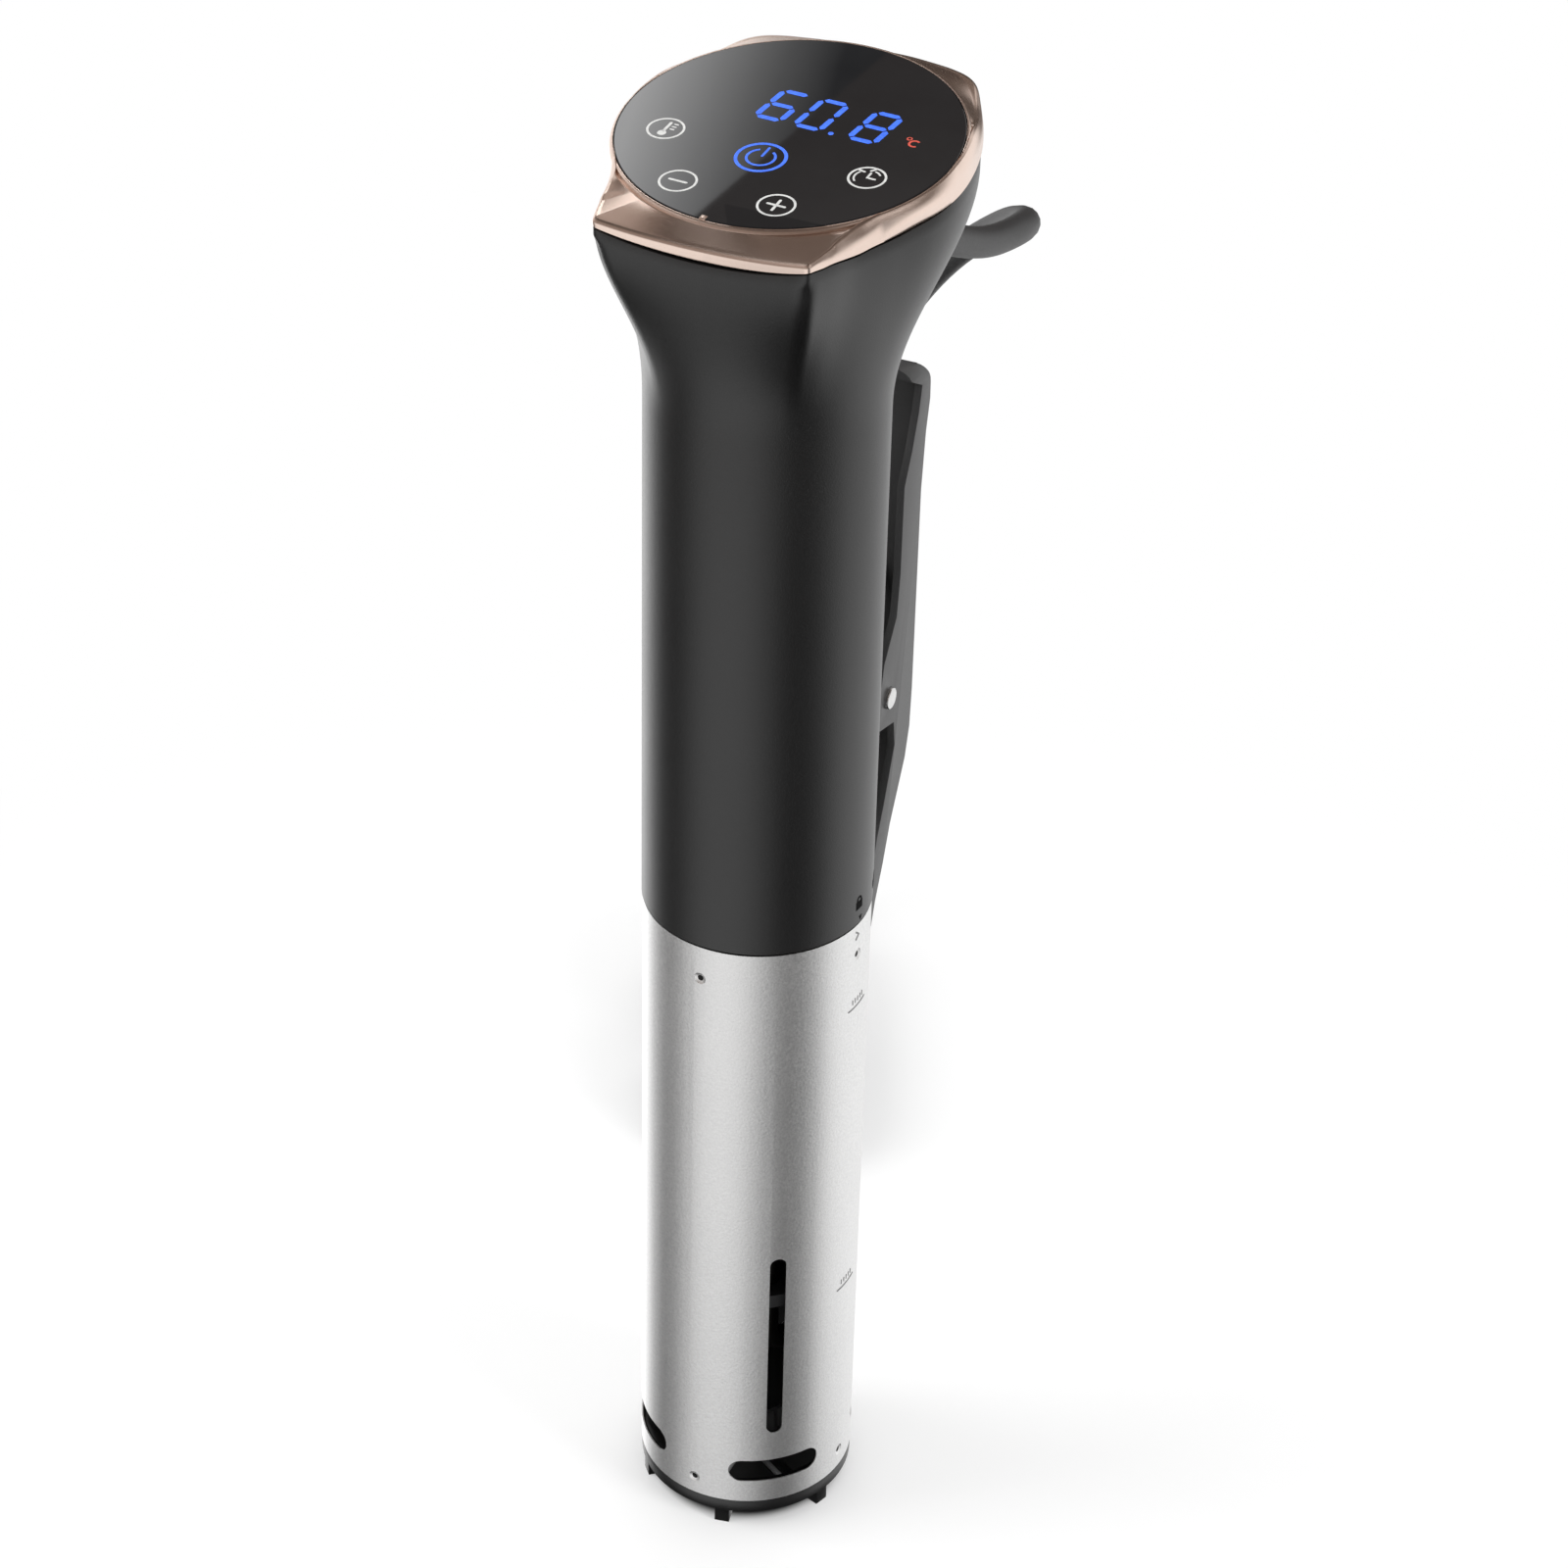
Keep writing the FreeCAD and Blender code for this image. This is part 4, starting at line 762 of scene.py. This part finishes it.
collar = {
    "rimRadius": 41, "glassRadius": 40, "opening": 36,
    "frontUp": -40, "frontHalf": 26.2,
    "frontEdge": 3.3, "cornerEdge": 0.6, "sideEdge": 0.28, "backEdge": 3,
    "backRise": (12, 20),  # where it starts, and over what length
    "groove": 1.15, "roomReach": 2, "leastTop": 41.35,
    "frontSoft": (1, 1.2), "sideSoft": (1.1, 3.8), "sideRise": (-46, 10),
    "roomySoft": 0.8, "softShare": 0.75, "softTurn": 15,
    "foot": (0.25, 0.05), "skirt": 0.3, "wallShares": (0.35, 0.7),
    "slopeSteps": 8, "slopeEnd": (0.05, 0.03),
    "lip": [(0.05, 0.04, 0.75), (0.3, 0.07, 0.35), (0.6, 0.1, 0.2)],  # inwards, at least so much, and down
    "lipRise": 0.4,
    "seat": [(0.15, -0.22), (0.02, -0.4), (0.02, -1.75)],
    "shelf": 4.2, "thickness": (3.2, 2.8), "shelfRoom": 2.4,
}


def onDisplay(x, up, rise):
    # point given across and up the display, and square to it
    y = head["displayBack"] + up * cos(tilt) - rise * sin(tilt)
    z = head["displayHeight"] + up * sin(tilt) + rise * cos(tilt)
    return x, y, z


def collarSection(away, up, depth, edge):
    # joint with the housing, rounded wall, sloping top, lip and seat of the glass, inside
    rim, glass, opening = collar["rimRadius"], collar["glassRadius"], collar["opening"]
    room = smoothStep((away - rim) / collar["roomReach"])
    side = smoothStep((up - collar["sideRise"][0]) / collar["sideRise"][1])
    wide, high = (a + (b - a) * side for a, b in zip(collar["frontSoft"], collar["sideSoft"]))
    wide += collar["roomySoft"] * room * side
    tall = depth - collar["skirt"] - edge
    high = min(high, tall * collar["softShare"])
    top = max(away, collar["leastTop"])
    foot = (away - collar["foot"][0], collar["foot"][1] - depth)
    section = [foot, (away, collar["skirt"] - depth)]
    for share in collar["wallShares"]:
        section.append((away + (top - away) * share, collar["skirt"] - depth + (tall - high) * share))
    for turn in range(0, 91, collar["softTurn"]):
        angle = radians(turn)
        section.append((top - wide * (1 - cos(angle)), -edge - high * (1 - sin(angle))))
    outer = top - wide
    inner = min(rim + collar["slopeEnd"][0], outer - collar["slopeEnd"][1])
    groove = edge + (collar["groove"] - edge) * room
    for step in range(1, collar["slopeSteps"] + 1):
        share = step / collar["slopeSteps"]
        section.append((outer + (inner - outer) * share, -edge - (groove - edge) * share))
    for reach, least, drop in collar["lip"]:
        section.append((min(rim - reach, inner - least), -min(drop, groove - least * collar["lipRise"])))
    section += [(glass + gap, height) for gap, height in collar["seat"]]
    upper, lower = collar["thickness"]
    section += [
        (opening, collar["seat"][-1][1]), (opening, -collar["shelf"]),
        (away - upper, -max(collar["shelf"], edge + collar["shelfRoom"])), (away - lower, foot[1]), foot,
    ]
    return section


def makeCollar():
    columns = []
    for spot in plan:
        x, y = skinPoint(spot, rimHeight(*spot))[:2]
        up = (y - head["displayBack"]) / cos(tilt)
        away = hypot(x, up)
        if up > collar["frontUp"]:
            rise = smoothStep((up - collar["backRise"][0]) / collar["backRise"][1])
            edge = collar["sideEdge"] + (collar["backEdge"] - collar["sideEdge"]) * rise
        else:
            droop = 1 - min(1, abs(x) / collar["frontHalf"]) ** 2
            edge = collar["cornerEdge"] + (collar["frontEdge"] - collar["cornerEdge"]) * droop
        section = collarSection(away, up, rimDepth(x, y), edge)
        columns.append([onDisplay(x / away * r, up / away * r, h) for r, h in section])
    piece = rolledGrid("roseCollar", list(zip(*columns)))
    finishPiece(piece, "handle", "rose_gold", ["bezel"], smooth=40)


makeHeadShell()
makeCollar()
print("head made")

# display: glass, and the signs that show through it

display = {
    "top": -0.1, "thickness": 1.6, "edge": 0.2, "edgeShare": 0.3, "gap": 0.1, "sides": 144,
    "turn": -3, "shift": -0.8, "proud": 0.04, "line": 0.55,
    "buttonRing": 4.2,
    "buttons": {
        "thermometer": (-25.5, -10.4), "minus": (-12.4, -28.5), "plus": (12.3, -28.5), "timer": (25.6, -10.5),
    },
    "power": (0, -12.5),
    "powerRings": (5.7, 3.3), "powerLines": (0.8, 0.6), "powerArc": (120, 420), "powerBar": (0.6, 4.2),
    "digits": [("6", -9.5), ("0", 0.5), ("8", 14.2)],
    "strokes": {"6": "afgecd", "0": "abcdef", "8": "abcdefg"},
    "digitWide": 6.3, "digitLow": 2.9, "digitHigh": 6, "digitLean": 0.1,
    "stroke": 1.4, "strokeGap": 0.35,
    "point": (9.8, 2.7, 0.65),
    "tab": (1.5, 1.6, 0.5), "tabReach": 39.4, "tabEdge": (0.15, 2),
    "degree": (27.1, 7.8, 0.55, 0.28), "celsius": (29, 6.3, 1.2, 0.52), "celsiusArc": (50, 310),
}

# parts of the button signs about the middle of the button: bars as start, end and weight of line,
# discs as place and radius, arcs as radius, weight of line and the angles they run between
buttonBars = {
    "minus": [((-2.1, 0), (2.1, 0), 1.2)],
    "plus": [((-2.1, 0), (2.1, 0), 1.2), ((0, -0.4), (0, -2.1), 1.2), ((0, 0.4), (0, 2.1), 1.2)],
    "thermometer": [
        ((0, -0.9), (0, 2.6), 1.3), ((1.1, 0.2), (1.9, 0.2), 0.8), ((1.1, 1.3), (1.9, 1.3), 0.8),
        ((1.1, 2.4), (1.9, 2.4), 0.8),
    ],
    "timer": [
        ((0, 0), (0, 2), 1), ((0.5, 0), (1.9, 0), 1), ((-3.2, 2.3), (-1.6, 2), 1),
        ((-0.4, 2.8), (0.4, 3.9), 1),
    ],
}
buttonDiscs = {"thermometer": [((0, -1.9), 1.05)]}
buttonArcs = {"timer": [(3, 0.8, 38, 78), (3, 0.8, 146, 228)]}

# ends of a digit's seven strokes, across and up in steps
strokeEnds = {
    "a": ((0, 2), (1, 2)), "b": ((1, 2), (1, 1)), "c": ((1, 1), (1, 0)), "d": ((0, 0), (1, 0)),
    "e": ((0, 1), (0, 0)), "f": ((0, 2), (0, 1)), "g": ((0, 1), (1, 1)),
}


def printed(outlines, name, thick):
    # one piece of flat closed prints with these outlines, lying across and up
    prints = []
    for outline in outlines:
        piece = added("circle", "print", vertices=len(outline), radius=mm, fill_type="NGON")
        placeVertices(piece, [(x * mm, y * mm, 0) for x, y in outline])
        editAll()
        bpy.ops.mesh.extrude_region_move(TRANSFORM_OT_translate={"value": (0, 0, thick * mm)})
        doneEditing()
        mended(piece)
        prints.append(piece)
    for piece in prints:
        piece.select_set(True)
    bpy.ops.object.join()
    return justAdded(name)


def onCircle(middle, radius, angle):
    return middle[0] + cos(angle) * radius, middle[1] + sin(angle) * radius


def shifted(spot, middle):
    return spot[0] + middle[0], spot[1] + middle[1]


def arcOutline(middle, radius, line, first, last, steps=24):
    # outline of a curved line about its middle, from one angle to another
    sweep = [radians(first + (last - first) * k / steps) for k in range(steps + 1)]
    outer = [onCircle(middle, radius + line / 2, angle) for angle in sweep]
    return outer + [onCircle(middle, radius - line / 2, angle) for angle in reversed(sweep)]


def ringOutlines(middle, radius, line):
    return [arcOutline(middle, radius, line, start, start + 180) for start in (0, 180)]


def barOutline(start, end, line, steps=6):
    # outline of a straight line with round ends
    heading = atan2(end[1] - start[1], end[0] - start[0])
    outline = []
    for spot, turn in ((end, -90), (start, 90)):
        for k in range(steps + 1):
            outline.append(onCircle(spot, line / 2, heading + radians(turn + 180 * k / steps)))
    return outline


def discOutline(middle, radius, steps=20):
    return [onCircle(middle, radius, tau * k / steps) for k in range(steps)]


def strokeOutline(start, end):
    # one lit stroke of a digit, pointed at both ends
    length = dist(start, end)
    dx, dy = (end[0] - start[0]) / length, (end[1] - start[1]) / length
    half, gap = display["stroke"] / 2, display["strokeGap"]
    near, far = gap + half, length - gap - half
    outline = []
    for along, beside in ((gap, 0), (near, half), (far, half), (length - gap, 0), (far, -half), (near, -half)):
        outline.append((start[0] + dx * along - dy * beside, start[1] + dy * along + dx * beside))
    return outline


def digitOutlines(sign, left):
    outlines = []
    for stroke in display["strokes"][sign]:
        ends = []
        for across, level in strokeEnds[stroke]:
            up = level * display["digitHigh"]
            x = left + across * display["digitWide"] + up * display["digitLean"]
            ends.append((x, display["digitLow"] + up))
        outlines.append(strokeOutline(*ends))
    return outlines


def buttonOutlines():
    line = display["line"]
    outlines = []
    for name, middle in display["buttons"].items():
        outlines += ringOutlines(middle, display["buttonRing"], line)
        for start, end, weight in buttonBars[name]:
            outlines.append(barOutline(shifted(start, middle), shifted(end, middle), line * weight))
        for spot, radius in buttonDiscs.get(name, []):
            outlines.append(discOutline(shifted(spot, middle), radius))
        for radius, weight, first, last in buttonArcs.get(name, []):
            outlines.append(arcOutline(middle, radius, line * weight, first, last))
    return outlines


def blueOutlines():
    outlines = []
    for sign, left in display["digits"]:
        outlines += digitOutlines(sign, left)
    x, y, radius = display["point"]
    outlines.append(discOutline((x, y), radius))
    middle, (outer, inner), (wide, narrow) = display["power"], display["powerRings"], display["powerLines"]
    outlines += ringOutlines(middle, outer, wide)
    outlines.append(arcOutline(middle, inner, narrow, *display["powerArc"]))
    outlines.append(barOutline(*(shifted((0, up), middle) for up in display["powerBar"]), narrow))
    return outlines


def redOutlines():
    x, y, radius, line = display["degree"]
    outlines = ringOutlines((x, y), radius, line)
    x, y, radius, line = display["celsius"]
    return outlines + [arcOutline((x, y), radius, line, *display["celsiusArc"])]


def laidOnDisplay(piece, turn=0, shift=0):
    # carries a piece made flat about the origin to its place on the display
    cosine, sine = cos(radians(turn)), sin(radians(turn))
    for vertex in piece.data.vertices:
        x, y, z = (value / mm for value in vertex.co)
        spot = onDisplay(x * cosine - y * sine + shift, x * sine + y * cosine, z + display["top"])
        vertex.co = [value * mm for value in spot]


def makeRimTab():
    # small bright tab at the foot of the glass
    tab = added("cube", "rimTab", size=1)
    tab.location.y = -display["tabReach"] * mm
    tab.scale = Vector(display["tab"]) * mm
    bakePlace(tab)
    softened(tab, *display["tabEdge"])
    laidOnDisplay(tab, display["turn"], display["shift"])
    finishPiece(tab, "handle", "rose_gold")


def makeGlass():
    radius, edge, thickness = collar["glassRadius"] - display["gap"], display["edge"], display["thickness"]
    cut = edge * display["edgeShare"]
    steps = [(radius, -thickness), (radius, -edge), (radius - cut, -cut), (radius - edge, 0)]
    glass = lathed("displayGlass", steps, display["sides"])
    laidOnDisplay(glass)
    finishPiece(glass, "handle", "dark_glass", ["display_glass"], smooth=12)


def makeSigns():
    for name, outlines, finish in (
        ("buttonSigns", buttonOutlines(), "glowingWhitePrint"),
        ("litDigits", blueOutlines(), "blueLight"),
        ("celsiusSign", redOutlines(), "redLight"),
    ):
        signs = printed(outlines, name, display["proud"])
        laidOnDisplay(signs, display["turn"], display["shift"])
        finishPiece(signs, "handle", "dark_glass", finish=finish)


makeGlass()
makeSigns()
makeRimTab()
print("display made")

# clip, foot and the small fittings, with their edges rounded as moulded pieces have

fittings = {
    "clip_lever": ("clipLever", "clip", "black_plastic", "leverPlastic", 0.9, 4),
    "clip_pin": ("clipPin", "handle", "steel", None, 0.45, 3),
    "foot_cap": ("footCap", "sleeve", "black_plastic", None, 0.35, 2),
    "clip_bracket": ("clipBracket", "handle", "black_plastic", "leverPlastic", 0.5, 2),
    "clip_pad": ("clipPad", "clip", "soft_rubber", None, 0.4, 2),
    "cord_tie": ("cordTie", "handle", "cord_rubber", None, 0.5, 2),
}

# the thumb end: its outer corner is one round, and its upper corners are rounded as seen from the front
thumb = {
    "cornerBehind": 56, "cornerAbove": 310, "cornerWide": 20, "cornerRound": 2.4, "cornerSegments": 4,
    "top": 316.2, "half": 16, "wall": 2.2, "radius": 5.5, "steps": 6,
}


def roundThumbCorner(lever):
    # the few flats along the corner are rounded into each other
    activate(lever)
    editAll("DESELECT")
    bpy.ops.mesh.select_mode(type="EDGE")
    doneEditing()
    for edge in lever.data.edges:
        ends = [lever.data.vertices[k].co / mm for k in edge.vertices]
        wide = abs(ends[0].x - ends[1].x) > thumb["cornerWide"]
        behind = all(end.y > thumb["cornerBehind"] and end.z > thumb["cornerAbove"] for end in ends)
        edge.select = wide and behind
    bpy.ops.object.mode_set(mode="EDIT")
    bpy.ops.mesh.bevel(offset=thumb["cornerRound"] * mm, segments=thumb["cornerSegments"], clamp_overlap=True)
    doneEditing()


def roundThumbEnd(lever):
    # drawn in towards the top, and the walls keep their thickness
    top, radius, steps = thumb["top"], thumb["radius"], thumb["steps"]
    cutAcross(lever, (0, 0, 1), [top - radius * (1 - sin(pi / 2 * k / steps)) for k in range(steps)])
    for vertex in lever.data.vertices:
        rise = min(1, max(0, (vertex.co.z / mm - top) / radius + 1))
        drawnIn = radius * (1 - sqrt(1 - rise * rise))
        share = min(1, abs(vertex.co.x) / mm / (thumb["half"] - thumb["wall"]))
        vertex.co.x -= copysign(drawnIn * share * mm, vertex.co.x)


def makeFittings():
    for node, (name, body, slot, finish, width, segments) in fittings.items():
        piece = copyOfNode(node, name)
        if node == "clip_lever":
            roundThumbCorner(piece)
            roundThumbEnd(piece)
        softened(piece, width, segments, angle=40)
        finishPiece(piece, body, slot, [node], finish, smooth=45)


makeFittings()
print("fittings made")

# printed and engraved marks on the handle and the steel tube; places are an angle from the front and a height

marks = {
    "handleSkin": 29.2, "steelSkin": 29, "thick": 0.12, "sunk": 0.05,
    "cutReach": 5,
    "closedLock": (85, 197), "openLock": (109, 196.2), "openLean": 0.9,
    "lockBody": [(-1.5, -1.4), (1.5, -1.4), (1.5, 0.9), (-1.5, 0.9)],
    "shackle": (1.2, 0.95, 0.5), "shackleLegs": (0.7, 1.25), "shackleSteps": 12,
    "pointer": (86.6, 192.6),
    "triangle": [(-0.7, 0.5), (0, -0.9), (0.7, 0.5)],
    "chevron": (85, 187.4),
    "chevronBars": [((-0.6, 1.1), (0.7, 0)), ((0.7, 0), (-0.6, -1.1))],
    "chevronLine": 0.5,
    "topLevel": (88, 165), "lowLevel": (87, 73.5), "levelBar": (4.4, 0.45),
    "ticks": (-2.6, -1.3, 0, 1.3, 2.6), "tickRise": (1.4, 2.6), "tickLine": 0.35,
}


def lockOutlines(lean):
    # body with a shackle, which stands open when it leans aside
    up, radius, line = marks["shackle"]
    low, high = marks["shackleLegs"]
    shackle = arcOutline((lean, up), radius, line, 0, 180, marks["shackleSteps"])
    sides = (-1,) if lean else (-1, 1)
    legs = [barOutline((lean + side * radius, low), (lean + side * radius, high), line) for side in sides]
    return [marks["lockBody"], shackle] + legs


def levelOutlines():
    # level line with short ticks over it
    half, line = marks["levelBar"]
    low, high = marks["tickRise"]
    ticks = [barOutline((x, low), (x, high), marks["tickLine"]) for x in marks["ticks"]]
    return [barOutline((-half, 0), (half, 0), line)] + ticks


def wrapped(outlines, name, radius, body, finish, slot):
    # prints laid round the tube, cut into strips that bend with it
    piece = printed(outlines, name, marks["thick"])
    cutAcross(piece, (1, 0, 0), range(-marks["cutReach"], marks["cutReach"] + 1))
    angle, height = marks[name]
    for vertex in piece.data.vertices:
        x, y, z = (value / mm for value in vertex.co)
        turn = radians(angle - 90) + x / radius
        away = radius - marks["sunk"] + z
        vertex.co = (away * cos(turn) * mm, away * sin(turn) * mm, (height + y) * mm)
    finishPiece(piece, body, slot, finish=finish)


def makeMarks():
    locks = {"closedLock": lockOutlines(0), "openLock": lockOutlines(marks["openLean"])}
    for name, outlines in {**locks, "pointer": [marks["triangle"]]}.items():
        wrapped(outlines, name, marks["handleSkin"], "handle", "blackPrint", "black_plastic")
    chevron = [barOutline(start, end, marks["chevronLine"]) for start, end in marks["chevronBars"]]
    onSteel = {"chevron": chevron, "topLevel": levelOutlines(), "lowLevel": levelOutlines()}
    for name, outlines in onSteel.items():
        wrapped(outlines, name, marks["steelSkin"], "sleeve", "engraving", "blasted_steel")


makeMarks()
print("marks made")

# mains lead: it falls from the head, lies in a tied hank of loops behind the object and ends in a plug

lead = {
    "radius": 4.25,
    "tip": (0, 77.32, 341.22),
    "fall": [
        (0, 108, 325), (0, 140, 310.5), (0, 172, 304), (-18, 197, 290), (-44, 213, 264), (-66, 222, 228),
    ],
    "landing": [
        (242, 21.7, 187), (256, 18.5, 146), (268, 17, 104), (276, 18.5, 66), (276.2, 20.5, 45),
        (269.2, 22.5, 27), (255.5, 24.3, 13), (238, 25.5, 5.65),
    ],
    "restAngle": 24.4,
    "hankMiddle": 185, "hankStraight": 70, "straightEnd": 8, "hankRadius": 25.5,
    "bendStep": 30,
    "layers": 3, "layer": 8.5, "firstLayer": 5.65,
    "climbEnd": 132,
    "plugTail": [(160, -25.5, 22.7), (176, -23.5, 24.4), (186, -19.5, 27.6), (194, -17.5, 28.5)],
    "smoothness": (8, 6),  # along and round the lead
}


def hankPoint(away, lateral, height):
    turn = radians(lead["restAngle"])
    x = -sin(turn) * away + cos(turn) * lateral
    y = cos(turn) * away + sin(turn) * lateral
    return x, y, height


def hankTurns():
    # in turns back along one side and round the near bend, and out along the other and up the far bend
    middle, side, step = lead["hankMiddle"], lead["hankRadius"], lead["bendStep"]
    near, far = middle - lead["hankStraight"] / 2, middle + lead["hankStraight"] / 2
    straight = (near + lead["straightEnd"], middle, far - lead["straightEnd"])
    reach = side / cos(radians(step / 2))
    points = []
    for half in range(2 * lead["layers"] - 1):
        way, end, climb = (-1, far, lead["layer"]) if half % 2 else (1, near, 0)
        base = lead["firstLayer"] + half // 2 * lead["layer"]
        points += [hankPoint(away, way * side, base) for away in straight[::-way]]
        for angle in range(step // 2, 180, step):
            along, across = way * reach * sin(radians(angle)), way * reach * cos(radians(angle))
            points.append(hankPoint(end - along, across, base + climb * smoothStep(angle / lead["climbEnd"])))
    return points


def makeLead():
    route = [lead["tip"]] + lead["fall"] + [hankPoint(*spot) for spot in lead["landing"]]
    route += hankTurns() + [hankPoint(*spot) for spot in lead["plugTail"]]
    curve = bpy.data.curves.new("powerLead", "CURVE")
    curve.dimensions = "3D"
    spline = curve.splines.new("NURBS")
    spline.points.add(len(route) - 1)
    for point, spot in zip(spline.points, route):
        point.co = (*Vector(spot) * mm, 1)
    spline.order_u = 3
    spline.use_endpoint_u = True
    spline.resolution_u, curve.bevel_resolution = lead["smoothness"]
    curve.bevel_depth = lead["radius"] * mm
    curve.use_fill_caps = True
    piece = bpy.data.objects.new("powerLead", curve)
    bpy.context.scene.collection.objects.link(piece)
    curve.materials.append(finishes["softRubber"])
    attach(piece, "handle")
    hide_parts("power_cord", "cord_coil")


boot = {
    "start": (0, 43.5, 359.2), "fall": 28, "sides": 48,
    "steps": [
        (6.3, -12), (6.3, -1), (8.2, -1), (8.2, 2), (7.6, 2.6), (6.8, 3.2), (6.5, 8), (6.1, 16),
        (5.6, 26), (5.2, 35), (5, 37.3), (4.7, 38.1), (4.3, 38.3),
    ],
}


def makeBoot():
    piece = lathed("leadBoot", boot["steps"], boot["sides"])
    piece.rotation_euler = (radians(-90 - boot["fall"]), 0, 0)
    piece.location = Vector(boot["start"]) * mm
    bakePlace(piece)
    finishPiece(piece, "handle", "cord_rubber", ["cord_gland"])


# each step of the plug is a distance along it, half its width and half its height
plug = {
    "away": 190, "beside": -17.5, "middle": 28.5,
    "steps": [
        (0, 9.5, 6.5), (0.6, 10.4, 7.4), (3, 10.9, 7.9), (24, 12.6, 9.6), (30, 13, 10),
        (35.2, 13, 10), (36, 12.2, 9.2),
    ],
    "tip": 0.01, "sides": 56, "squareness": 5,
    "gripFirst": 6, "gripGap": 3.2, "grips": 5,
    "groove": [(-0.9, 0), (-0.6, 0.7), (0.6, 0.7), (0.9, 0)],
    "taper": 0.08,
}


def plugRing(along, halfWide, halfHigh):
    # rounded oblong across the plug at a distance along it
    power = plug["squareness"]
    ring = []
    for k in range(plug["sides"]):
        cosine, sine = cos(tau * k / plug["sides"]), sin(tau * k / plug["sides"])
        reach = (abs(cosine) ** power + abs(sine) ** power) ** (-1 / power)
        beside = plug["beside"] + cosine * reach * halfWide
        ring.append(hankPoint(plug["away"] + along, beside, plug["middle"] + sine * reach * halfHigh))
    return ring


def makePlug():
    start, startWide, startHigh = plug["steps"][2]
    steps = list(plug["steps"])
    for k in range(plug["grips"]):
        for along, depth in plug["groove"]:
            at = plug["gripFirst"] + k * plug["gripGap"] + along
            wide = startWide + (at - start) * plug["taper"] - depth
            steps.append((at, wide, wide - startWide + startHigh))
    steps.sort()
    ends = [(at, plug["tip"], plug["tip"]) for at in (steps[0][0], steps[-1][0])]
    piece = rolledGrid("plugBody", [plugRing(*step) for step in [ends[0]] + steps + [ends[1]]])
    finishPiece(piece, "handle", "cord_rubber", ["plug_body"])


makeBoot()
makePlug()
makeLead()
print("lead laid")
